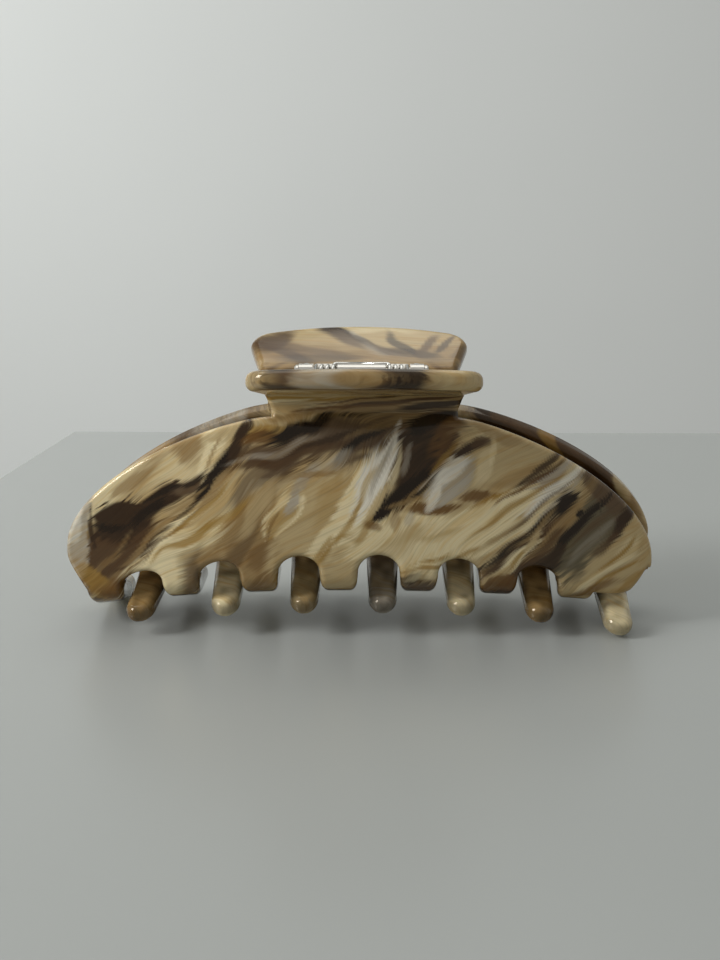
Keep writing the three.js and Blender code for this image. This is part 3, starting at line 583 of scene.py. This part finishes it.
    (47.6, 26.2, 3.6, 1, -46, AMBER, 0.8, 0.6),
    (48.2, 21, 4.4, 1.2, 46, UMBER, 1, 0.5),
    (44.6, 17.3, 3, 0.7, 46, BROWN, 0.8, 0.6),
    (51.8, 18, 5, 1.8, 80, BEIGE, 0.9, 0.5),
    (48.6, 15.5, 3, 1.2, 50, CREAM, 0.5, 0.8),
    (46.6, 14.6, 5, 0.4, 44, HONEY, 0.9, 0.5),
    (48, 13, 5, 0.35, 40, TAN, 0.8, 0.5),
    (44.5, 11.6, 7, 0.7, 28, CREAM, 0.8, 0.5),
    (45.5, 10.6, 6, 0.35, 26, HONEY, 0.9, 0.5),
    (43, 9, 6, 0.8, 10, AMBER, 0.7, 0.6),
    (50.5, 9.5, 4, 0.8, 40, HONEY, 0.6, 0.6),
    (10.4, 10.4, 4.2, 2.8, 8, SMOKE, 1, 0.6),
    (9, 11.8, 3, 0.5, 10, UMBER, 0.8, 0.6),
    (12.4, 12.7, 4, 0.4, 14, CREAM, 0.5, 0.6),
    # The neck and the handle's outer face, nearly level.
    (0, 43.5, 24, 3.4, 4, TAN, 1, 0.5),
    (-12, 42.5, 8, 1.8, 10, BEIGE, 0.9, 0.5),
    (-9, 45.5, 12, 1.2, 8, HONEY, 0.9, 0.5),
    (-14, 44, 6, 0.5, 14, CREAM, 0.7, 0.5),
    (-4, 42.2, 9, 0.6, 10, AMBER, 0.9, 0.5),
    (5, 43.4, 11, 0.8, 12, AMBER, 1, 0.5),
    (13, 42.5, 7, 1.4, 12, UMBER, 1, 0.5),
    (10, 44.8, 10, 0.8, 10, BROWN, 0.9, 0.5),
    (3, 46.6, 14, 0.8, 6, HONEY, 0.9, 0.5),
    (-2, 44.6, 8, 0.35, 12, BROWN, 0.8, 0.5),
    (9, 47.2, 10, 0.5, 8, UMBER, 0.8, 0.5),
    (0, 51, 24, 3.4, 4, BEIGE, 1, 0.5),
    (8, 50.5, 12, 0.8, 8, BROWN, 0.8, 0.5),
    (-12, 50, 9, 1, 8, HONEY, 0.8, 0.5),
    (-7, 54, 14, 1.6, 5, TAN, 0.8, 0.5),
    (12, 55, 9, 1.8, 8, HONEY, 0.7, 0.5),
    # The front handle's edge.
    (-13, 61, 10, 2.6, 4, SMOKE, 1, 1),
    (-17.5, 60.2, 4, 0.8, 8, BEIGE, 0.8, 0.9),
    (-12, 60.6, 5, 0.6, 8, UMBER, 0.9, 0.7),
    (-2.5, 61.6, 8, 1.8, -4, TAN, 0.9, 0.9),
    (-4, 61.2, 7, 0.8, -3, GREY, 0.8, 1),
    (0, 60, 8, 0.6, 5, SMOKE, 0.8, 0.8),
    (6, 61, 8, 1.6, 6, BROWN, 1, 1),
    (8, 61.6, 5, 0.8, 8, BLACK, 0.8, 1),
    (12.5, 60.6, 3, 1.4, 30, TAN, 0.8, 1),
    (18, 61, 6, 2.6, 0, BEIGE, 1, 0.9),
]

REAR_STROKES = [
    # The handle's inner face, seen from the front.
    (0, 52, 26, 10, -4, TAN, 1, 0.5),
    (2, 58, 24, 4, 3, BEIGE, 0.8, 1),
    (3, 61, 16, 1.6, 3, CREAM, 0.5, 1),
    (15, 52, 9, 4, 24, TAN, 0.9, 1),
    (17.5, 55, 5, 2.6, -50, BROWN, 0.9, 0.9),
    (14.5, 50.5, 7, 1.8, 40, BROWN, 0.9, 0.9),
    (10, 52.5, 9, 1.6, 22, BROWN, 0.6, 1),
    (8, 49.5, 8, 1.6, 0, UMBER, 0.6, 1),
    (5, 59.5, 4.5, 1.8, 38, UMBER, 1, 0.8),
    (2, 56.5, 5, 1.6, 44, SMOKE, 0.9, 0.9),
    (0.5, 57.4, 3.4, 0.6, 52, GREY, 0.7, 0.8),
    (-2.5, 53.4, 6, 1, 48, UMBER, 0.8, 0.8),
    (-4.5, 50.5, 5, 1.4, 44, GREY, 0.5, 1),
    (-7.5, 54, 5, 1, 62, BLACK, 0.8, 0.7),
    (-6, 51, 4, 1.4, 50, SMOKE, 0.8, 0.9),
    (-10, 50.5, 5, 1.6, 28, UMBER, 0.8, 0.9),
    (-12.5, 54.5, 4.5, 1, -64, BROWN, 0.8, 0.8),
    (-15.8, 54, 4.5, 0.7, -58, UMBER, 0.8, 0.7),
    (-18.4, 51.5, 4, 0.8, -50, BROWN, 0.6, 0.9),
    (0, 45, 20, 3, -4, TAN, 0.9, 0.5),
    # The plate.
    (-30, 36, 18, 4, 38, BROWN, 1, 0.5),
    (-44, 27, 12, 4, 48, BROWN, 1, 0.5),
    (-25, 37.5, 12, 0.7, 30, UMBER, 0.9, 0.4),
    (-38, 31, 12, 0.7, 42, HONEY, 0.6, 0.5),
    (-48, 22, 9, 1.6, 56, UMBER, 0.8, 0.5),
    (-53, 18, 8, 1.6, 78, TAN, 0.9, 0.5),
    (-50, 24.5, 3, 1, 60, BEIGE, 0.8, 0.5),
    (30, 35, 18, 4, -38, SMOKE, 1, 0.5),
    (26, 36.5, 5, 1, -30, GREY, 0.7, 0.5),
    (34, 32, 6, 1.2, -40, GREY, 0.6, 0.6),
    (44, 25, 10, 3.4, -50, TAN, 0.9, 0.5),
    (0, 20, 50, 4, 2, BEIGE, 0.7, 0.5),
    (-18, 24, 13, 3.2, 40, UMBER, 0.9, 0.5),
    (14, 26, 13, 3.4, 38, BLACK, 0.85, 0.5),
    (-2, 30, 10, 2.6, 45, CREAM, 0.9, 0.4),
    (4, 24, 9, 1, 50, AMBER, 0.9, 0.5),
    (30, 20, 13, 3, 36, CREAM, 0.9, 0.4),
    (26, 24, 12, 0.6, 36, HONEY, 0.9, 0.4),
    (-38, 15, 11, 3, 40, HONEY, 0.8, 0.5),
    (-33, 21, 10, 0.6, 42, BLACK, 0.8, 0.4),
    (38, 14, 10, 2.4, 40, BROWN, 0.9, 0.5),
]
# The fingertips' colours, from the outermost finger at the long end to the one beside the lobe.
TOOTH_TIPS = [CREAM, TAN, CREAM, GREY, BEIGE, CREAM, TAN]


def noise(x, y, seed=0):
    """Smooth noise from -1 to 1 at numpy points."""

    def corner(ix, iy):
        n = (ix * 374761393 + iy * 668265263 + seed * 974634777) & 0xFFFFFFFF
        n = ((n ^ (n >> 13)) * 1274126177) & 0xFFFFFFFF
        return ((n ^ (n >> 16)) & 0xFFFF) / 32767.5 - 1

    ix, iy = np.floor(x).astype(np.int64), np.floor(y).astype(np.int64)
    fx, fy = x - ix, y - iy
    fx, fy = fx * fx * (3 - 2 * fx), fy * fy * (3 - 2 * fy)
    low = corner(ix, iy) * (1 - fx) + corner(ix + 1, iy) * fx
    high = corner(ix, iy + 1) * (1 - fx) + corner(ix + 1, iy + 1) * fx
    return low * (1 - fy) + high * fy


FEATHER_X, FEATHER_H = 2.0, 28.0  # middle of the feathered stroke, where the marbling stands steeper
FEATHER_REACH_X, FEATHER_REACH_H = 10, 12
# The marbling's angle on the plate, what the feather adds and what the handle takes off, in degrees.
FLOW_ANGLE, FEATHER_TURN, HANDLE_TURN = 37, 24, 30
HANDLE_FLOW_START, HANDLE_FLOW_RUN = 37, 7
SWIRL_X, SWIRL_H, SMALL_SWIRL = 2.6, 2.4, 0.4  # how far the swirls push the marbling aside
WOBBLE, WOBBLE_SIZE = 0.9, 5  # how far the strokes wander, and over what length
FRAY, FRAY_LENGTH, FRAY_WIDTH = 0.2, 9, 0.9
TOOTH_SEED, TOOTH_FADE, TOOTH_CONTRAST = 60, 0.1, 0.22
STEM_END, STEM_FADE = 1.45, 0.35  # t at which a finger's dark stem (partly its own colour, partly painted shade under the plate) ends, and how gradually


def flow_angle(x, h):
    """Main direction of the marbling: nearly level on the handle, steeper round the feathered stroke."""
    share = np.clip((h - HANDLE_FLOW_START) / HANDLE_FLOW_RUN, 0, 1)
    steep = np.exp(-(((x - FEATHER_X) / FEATHER_REACH_X) ** 2) - ((h - FEATHER_H) / FEATHER_REACH_H) ** 2)
    level = share * share * (3 - 2 * share)
    return np.radians(FLOW_ANGLE + FEATHER_TURN * steep - HANDLE_TURN * level)


def flow_coordinates(sheet, seed):
    """(along, across) the marbling, bent by slow swirls."""
    x, h = sheet[:, 0], sheet[:, 1]
    x = x + SWIRL_X * noise(x / 13 + 5, h / 10, seed) + SMALL_SWIRL * noise(x / 5, h / 5 + 3, seed + 1)
    h = h + SWIRL_H * noise(x / 12, h / 10 + 7, seed + 2) + SMALL_SWIRL * noise(x / 5 + 9, h / 5, seed + 3)
    angle = flow_angle(x, h)
    x, h = x - FEATHER_X, h - FEATHER_H
    return x * np.cos(angle) + h * np.sin(angle), h * np.cos(angle) - x * np.sin(angle)


def paint(sheet, strokes, base, grow, seed):
    """Lays the strokes over the base colour, each edge moved outwards by grow and frayed along the stroke."""
    place_x, place_h = sheet[:, 0] / WOBBLE_SIZE, sheet[:, 1] / WOBBLE_SIZE
    wobble_x = WOBBLE * noise(place_x, place_h, seed + 11)
    wobble_h = WOBBLE * noise(place_x + 40, place_h, seed + 12)
    colour = np.tile(base, (len(sheet), 1))
    for number, (x, h, long, wide, angle, tint, cover, soft) in enumerate(strokes):
        a = math.radians(angle)
        dx, dh = sheet[:, 0] + wobble_x - x, sheet[:, 1] + wobble_h - h
        along = dx * math.cos(a) + dh * math.sin(a)
        across = dh * math.cos(a) - dx * math.sin(a)
        across = across + 0.3 * wide * noise(along / 6, 0 * along + number, seed + number)
        reach = np.sqrt((along / long) ** 2 + (across / wide) ** 2)
        fray = FRAY * noise(along / FRAY_LENGTH + number, across / FRAY_WIDTH, seed + 20 + number)
        fray = fray * np.clip(reach, 0.2, 1)
        mask = np.clip((1 + grow + fray - reach) / soft + 0.5, 0, 1)
        mask = (mask * mask * (3 - 2 * mask) * cover)[:, None]
        colour = colour + (tint - colour) * mask
    return colour


def paint_teeth(sheet, t, colour, start):
    """The fingers from t = start on: dark stems, partly their own colour and partly painted shade under the
    plate, and paler tips, each with its own colour.
    """
    for k in range(FINGERS):
        near = (np.abs(sheet[:, 0] - finger_x(k)) < PITCH / 2) & (t > start)
        fade = np.clip((t[near] - start) / TOOTH_FADE, 0, 1)[:, None]
        share = np.clip((t[near] - STEM_END) / STEM_FADE, 0, 1)[:, None]
        ripple = noise(sheet[near, 0] / 1.6, sheet[near, 1] / 2.4, TOOTH_SEED + k)[:, None]
        # The stem's dark brown is partly the acetate's colour and partly painted shade under the plate.
        stem = UMBER + (AMBER - UMBER) * (0.45 + 0.45 * ripple)
        tip = TOOTH_TIPS[k] * (1 + TOOTH_CONTRAST * ripple)
        tooth = stem + (tip - stem) * np.clip(share + 0.25 * ripple, 0, 1)
        colour[near] += (tooth - colour[near]) * fade
    return colour


# ---- Materials -----------------------------------------------------------------------------------------
def nodes_of(name):
    material = bpy.data.materials.new(name)
    material.use_nodes = True
    tree = material.node_tree
    return material, tree.nodes, tree.links, tree.nodes["Principled BSDF"]


def acetate_material():
    material, nodes, links, shader = nodes_of("marbled_acetate")

    def add(kind, **values):
        node = nodes.new(kind)
        for key, value in values.items():
            setattr(node, key, value)
        return node

    def attribute(name):
        return add("ShaderNodeAttribute", attribute_name=name)

    def streaks(scale, detail, distortion, roughness=0.6):
        mapping = add("ShaderNodeMapping")
        mapping.inputs["Scale"].default_value = scale
        links.new(flow.outputs["Vector"], mapping.inputs["Vector"])
        texture = add("ShaderNodeTexNoise")
        texture.inputs["Scale"].default_value = 1
        texture.inputs["Detail"].default_value = detail
        texture.inputs["Roughness"].default_value = roughness
        texture.inputs["Distortion"].default_value = distortion
        links.new(mapping.outputs["Vector"], texture.inputs["Vector"])
        return texture.outputs["Fac"]

    def ramp(value, *stops):
        node = add("ShaderNodeValToRGB")
        elements = node.color_ramp.elements
        while len(elements) < len(stops):
            elements.new(0.5)
        for element, (place, colour) in zip(elements, stops):
            element.position = place
            element.color = (*colour, 1) if hasattr(colour, "__len__") else (colour, colour, colour, 1)
        links.new(value, node.inputs["Fac"])
        return node.outputs["Color"]

    def mix(kind, factor, a, b):
        node = add("ShaderNodeMix", data_type="RGBA", blend_type=kind)
        for socket, value in ((node.inputs[0], factor), (node.inputs[6], a), (node.inputs[7], b)):
            if isinstance(value, bpy.types.NodeSocket):
                links.new(value, socket)
            else:
                socket.default_value = value
        return node.outputs[2]

    flow = attribute("flow")
    wide, tight = attribute("tint_wide"), attribute("tint_tight")
    choose = ramp(streaks((0.10, 1.5, 0.4), 3, 0.6), (0.44, 0.0), (0.56, 1.0))
    colour = mix("MIX", choose, wide.outputs["Color"], tight.outputs["Color"])
    honey = ramp(streaks((0.07, 0.7, 0.3), 3, 0.8), (0.50, 0.0), (0.64, 0.5))
    colour = mix("MULTIPLY", honey, colour, (0.86, 0.70, 0.44, 1))
    hair = ramp(streaks((0.035, 3.4, 0.5), 4, 0.4), (0.32, 0.82), (0.48, 1.0), (0.70, 1.07))
    colour = mix("MULTIPLY", 1.0, colour, hair)
    links.new(colour, shader.inputs["Base Color"])
    shader.inputs["IOR"].default_value = 1.48
    shader.inputs["Subsurface Weight"].default_value = 0.12
    shader.inputs["Subsurface Radius"].default_value = (1.0, 0.62, 0.35)
    shader.inputs["Subsurface Scale"].default_value = 1.8 * MM
    shader.inputs["Specular Tint"].default_value = (1.0, 0.86, 0.68, 1)
    shader.inputs["Coat Weight"].default_value = 0.15
    shader.inputs["Coat Roughness"].default_value = 0.03
    gloss = ramp(streaks((0.15, 0.7, 0.5), 3, 0.5), (0.30, 0.06), (0.75, 0.13))
    links.new(gloss, shader.inputs["Roughness"])
    bump = add("ShaderNodeBump")
    bump.inputs["Strength"].default_value = 0.10
    bump.inputs["Distance"].default_value = 0.25 * MM
    links.new(streaks((0.06, 0.16, 0.1), 2, 0.3, 0.4), bump.inputs["Height"])
    links.new(bump.outputs["Normal"], shader.inputs["Normal"])
    return material


def steel_material(name, colour, roughness, stretch):
    material, nodes, links, shader = nodes_of(name)
    place = nodes.new("ShaderNodeTexCoord")
    mapping = nodes.new("ShaderNodeMapping")
    mapping.inputs["Scale"].default_value = stretch
    links.new(place.outputs["Object"], mapping.inputs["Vector"])
    grain = nodes.new("ShaderNodeTexNoise")
    grain.inputs["Scale"].default_value = 1000
    grain.inputs["Detail"].default_value = 4
    links.new(mapping.outputs["Vector"], grain.inputs["Vector"])
    rough = nodes.new("ShaderNodeMapRange")
    rough.inputs["To Min"].default_value = roughness * 0.7
    rough.inputs["To Max"].default_value = roughness * 1.5
    links.new(grain.outputs["Fac"], rough.inputs["Value"])
    links.new(rough.outputs["Result"], shader.inputs["Roughness"])
    tint = nodes.new("ShaderNodeValToRGB")
    tint.color_ramp.elements[0].color = (*(c * 0.8 for c in colour), 1)
    tint.color_ramp.elements[1].color = (*colour, 1)
    links.new(grain.outputs["Fac"], tint.inputs["Fac"])
    links.new(tint.outputs["Color"], shader.inputs["Base Color"])
    bump = nodes.new("ShaderNodeBump")
    bump.inputs["Strength"].default_value = 0.15
    bump.inputs["Distance"].default_value = 0.02 * MM
    links.new(grain.outputs["Fac"], bump.inputs["Height"])
    links.new(bump.outputs["Normal"], shader.inputs["Normal"])
    shader.inputs["Metallic"].default_value = 1.0
    return material


# ---- Pieces --------------------------------------------------------------------------------------------
pin_low, pin_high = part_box("hinge_pin")
LIFT = (pin_low.z + pin_high.z) / 2 / MM - PIN_Z


def new_object(name, points, faces, material, smooth=True):
    mesh = bpy.data.meshes.new(name)
    mesh.from_pydata([tuple(p) for p in np.asarray(points) * MM], [], faces)
    mesh.update()
    mesh.materials.append(material)
    for polygon in mesh.polygons:
        polygon.use_smooth = smooth
    made = bpy.data.objects.new(name, mesh)
    bpy.context.scene.collection.objects.link(made)
    return made


def add_attribute(made, name, kind, values):
    data = made.data.attributes.new(name, kind, "POINT").data
    if kind == "FLOAT_COLOR":
        values = np.concatenate([values, np.ones((len(values), 1))], 1)
        data.foreach_set("color", values.astype(np.float32).ravel())
    else:
        data.foreach_set("vector", values.astype(np.float32).ravel())


acetate = acetate_material()
half_points, half_faces, half_sheet, half_depth, half_t = formed_half()


def claw(name, body, cad_node, turn, seed, strokes, spread, tooth_start):
    """One half from the shared shape, with its own marbling; turn is (-1, -1, 1) for the rear half."""
    made = new_object(name, half_points * turn + (0, 0, LIFT), half_faces, acetate)
    along, across = flow_coordinates(half_sheet, seed)
    add_attribute(made, "flow", "FLOAT_VECTOR", np.stack([along, across, half_depth + seed], -1))
    count = len(half_sheet) // 2
    # Painted shade: the rounded edges of the plate and the fingers are painted darker.
    rounded = np.clip((SHEET / 2 - np.abs(half_depth)) / EDGE_ROUND, 0, 1)
    shade = 1 - EDGE_SHADE * rounded * np.clip(half_t, 0, 1)
    for label, grow in (("tint_wide", spread), ("tint_tight", -spread)):
        colour = paint(half_sheet[:count], strokes, BEIGE * 0.95, grow, seed)
        colour = paint_teeth(half_sheet[:count], half_t[:count], colour, tooth_start)
        colour = np.concatenate([colour, colour]) * shade[:, None]
        add_attribute(made, label, "FLOAT_COLOR", np.clip(colour, 0, 1))
    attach(made, body)
    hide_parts(cad_node)


# spread is how far each tint's edges lie outside or inside the strokes' own, as a share of their width;
# tooth_start is the t from which the fingers have their own colours.
claw(
    "front_comb", "front_half", "front_claw", turn=(1, 1, 1), seed=100,
    strokes=FRONT_STROKES, spread=0.13, tooth_start=1.2,
)
claw(
    "rear_comb", "rear_half", "rear_claw", turn=(-1, -1, 1), seed=300,
    strokes=REAR_STROKES, spread=0.05, tooth_start=0.95,
)

plated = steel_material("plated_steel", (0.74, 0.71, 0.66), 0.30, (1, 6, 6))
bright = steel_material("bright_steel", (0.80, 0.78, 0.74), 0.22, (1, 4, 4))
for node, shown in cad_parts.items():
    if node.endswith("_claw") or node == "torsion_spring":
        continue
    shown.data.materials.clear()
    shown.data.materials.append(bright if "rivet" in node else plated)
    worn = shown.modifiers.new("worn_edges", "BEVEL")
    worn.width, worn.segments, worn.limit_method = 0.12 * MM, 2, "ANGLE"

# The torsion spring, with the CAD's dimensions: each half has a free leg on the front leaf, a coil round the
# pin and half of the bridge across the rear leaf.
WIRE_RADIUS, WIRE_REST = 0.375, 0.195
COIL_RADIUS, COIL_TURNS, COIL_STEPS, COIL_END = 1.5, 3, 24, 8.4
LEG_START, LEG_END = 2.6, 3.8
BRIDGE_HALF, BRIDGE_OUT, BRIDGE_CORNER = 5.1, 3.4, 0.5
WIRE_SIDES = 12


def on_pad(x, along, side):
    out = side * (along * math.sin(TILT) - WIRE_REST * math.cos(TILT))
    return Vector((x, out, along * math.cos(TILT) + WIRE_REST * math.sin(TILT)))


def spring_route(side):
    """Points of one half about the pin's axis, from the free leg's end to the middle of the bridge."""
    route = [on_pad(-COIL_END, LEG_END - (LEG_END - LEG_START) * i / 4, -1) for i in range(5)]
    for i in range(COIL_TURNS * COIL_STEPS + 1):
        angle = 2 * math.pi * i / COIL_STEPS
        x = (COIL_END - BRIDGE_HALF) * i / (COIL_TURNS * COIL_STEPS) - COIL_END
        route.append(Vector((x, COIL_RADIUS * math.sin(angle), COIL_RADIUS * math.cos(angle))))
    route.append(on_pad(-BRIDGE_HALF, LEG_START, 1))
    for i in range(7):
        turn = math.pi / 2 * i / 6
        x = -BRIDGE_HALF + BRIDGE_CORNER * (1 - math.cos(turn))
        route.append(on_pad(x, BRIDGE_OUT - BRIDGE_CORNER * (1 - math.sin(turn)), 1))
    route.append(on_pad(0, BRIDGE_OUT, 1))
    return [Vector((side * point.x, point.y, point.z)) for point in route]


def wire(name, route, radius, sides, material):
    """A round wire along a route, closed at both ends."""
    points, faces = [], []
    across = Vector((0, 0, 1))
    for i, place in enumerate(route):
        ahead = (route[min(i + 1, len(route) - 1)] - route[max(i - 1, 0)]).normalized()
        across = (across - ahead * across.dot(ahead)).normalized()
        other = ahead.cross(across)
        for k in range(sides):
            turn = 2 * math.pi * k / sides
            points.append(place + radius * (across * math.cos(turn) + other * math.sin(turn)))
    for i in range(len(route) - 1):
        for k in range(sides):
            a, b = i * sides + k, i * sides + (k + 1) % sides
            faces.append((a, b, b + sides, a + sides))
    faces.append(tuple(reversed(range(sides))))
    faces.append(tuple(range(len(points) - sides, len(points))))
    return new_object(name, points, faces, material)


for name, side in (("spring_left", 1), ("spring_right", -1)):
    route = [point + Vector((0, 0, PIN_Z + LIFT)) for point in spring_route(side)]
    coil = wire(name, route, WIRE_RADIUS, WIRE_SIDES, bright)
    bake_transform(coil)
    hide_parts("torsion_spring")


# ---- Stage, light, camera ------------------------------------------------------------------------------
def stage_material(name, colour, roughness):
    material, nodes, links, shader = nodes_of(name)
    place = nodes.new("ShaderNodeTexCoord")
    cloud = nodes.new("ShaderNodeTexNoise")
    cloud.inputs["Scale"].default_value = 6
    cloud.inputs["Detail"].default_value = 4
    links.new(place.outputs["Object"], cloud.inputs["Vector"])
    tint = nodes.new("ShaderNodeValToRGB")
    tint.color_ramp.elements[0].color = (*(c * 0.96 for c in colour), 1)
    tint.color_ramp.elements[1].color = (*colour, 1)
    links.new(cloud.outputs["Fac"], tint.inputs["Fac"])
    links.new(tint.outputs["Color"], shader.inputs["Base Color"])
    shader.inputs["Roughness"].default_value = roughness
    return material


def slab(name, outline, heights, material):
    """A prism over an outline that runs anticlockwise as seen from above."""
    count = len(outline)
    corners = [(x, y, z) for z in heights for x, y in outline]
    sides = [(i, (i + 1) % count, count + (i + 1) % count, count + i) for i in range(count)]
    faces = sides + [tuple(reversed(range(count))), tuple(range(count, 2 * count))]
    made = new_object(name, corners, faces, material, smooth=False)


TABLE_DEPTH = 30
TABLE_FRONT, TABLE_BACK, TABLE_RIGHT = -500, 138, 900
TABLE_LEFT_BACK, TABLE_LEFT_FRONT = -82, -215  # the left edge spreads towards the camera
table_top = [
    (TABLE_LEFT_FRONT, TABLE_FRONT),
    (TABLE_RIGHT, TABLE_FRONT),
    (TABLE_RIGHT, TABLE_BACK),
    (TABLE_LEFT_BACK, TABLE_BACK),
]
slab("table", table_top, (-TABLE_DEPTH, 0), stage_material("table", (0.40, 0.42, 0.41), 0.30))
WALL_HALF, WALL_FRONT, WALL_BACK, WALL_HEIGHTS = 3000, 900, 930, (-800, 2500)
wall_foot = [
    (-WALL_HALF, WALL_FRONT),
    (WALL_HALF, WALL_FRONT),
    (WALL_HALF, WALL_BACK),
    (-WALL_HALF, WALL_BACK),
]
slab("wall", wall_foot, WALL_HEIGHTS, stage_material("wall", (0.78, 0.81, 0.80), 0.8))


def area_light(name, place, target, size, power, colour=(1, 1, 1)):
    data = bpy.data.lights.new(name, "AREA")
    data.shape = "RECTANGLE"
    data.size, data.size_y = size[0] * MM, size[1] * MM
    data.energy, data.color = power, colour
    made = bpy.data.objects.new(name, data)
    bpy.context.scene.collection.objects.link(made)
    made.location = Vector(place) * MM
    made.rotation_euler = (Vector(target) - Vector(place)).to_track_quat("-Z", "Y").to_euler()


area_light("window", (-640, -190, 430), (0, 0, 20), (230, 300), 3.7, (1, 0.99, 0.97))
area_light("sky", (-80, 260, 620), (0, 40, 0), (700, 420), 1.2, (1, 1, 0.97))
area_light("backdrop", (-500, 420, 260), (-100, 900, 160), (500, 600), 1.7, (1, 1, 0.99))
world = bpy.data.worlds.new("room_air")
bpy.context.scene.world = world
world.use_nodes = True
# The room is dim on the camera's side and bright beyond the table.
air = world.node_tree
direction = air.nodes.new("ShaderNodeTexCoord")
parts = air.nodes.new("ShaderNodeSeparateXYZ")
glow = air.nodes.new("ShaderNodeMapRange")
glow.inputs["From Min"].default_value, glow.inputs["From Max"].default_value = -1, 1
glow.inputs["To Min"].default_value, glow.inputs["To Max"].default_value = 0.26, 0.74
air.links.new(direction.outputs["Generated"], parts.inputs["Vector"])
air.links.new(parts.outputs["Y"], glow.inputs["Value"])
air.links.new(glow.outputs["Result"], air.nodes["Background"].inputs["Strength"])
air.nodes["Background"].inputs["Color"].default_value = (0.97, 0.96, 0.92, 1)

CAMERA_PLACE = (2.43, -270.0, 106.7 + LIFT)
CAMERA_DOWN, CAMERA_LEFT = math.radians(16.5), math.radians(0.573)
camera_data = bpy.data.cameras.new("camera")
camera_data.sensor_width = 36
camera_data.lens = 56.25
camera_data.clip_start = 0.01
camera = bpy.data.objects.new("camera", camera_data)
bpy.context.scene.collection.objects.link(camera)
camera.location = Vector(CAMERA_PLACE) * MM
camera.rotation_euler = (math.pi / 2 - CAMERA_DOWN, 0, CAMERA_LEFT)
bpy.context.scene.camera = camera
bpy.context.scene.view_settings.view_transform = "Standard"
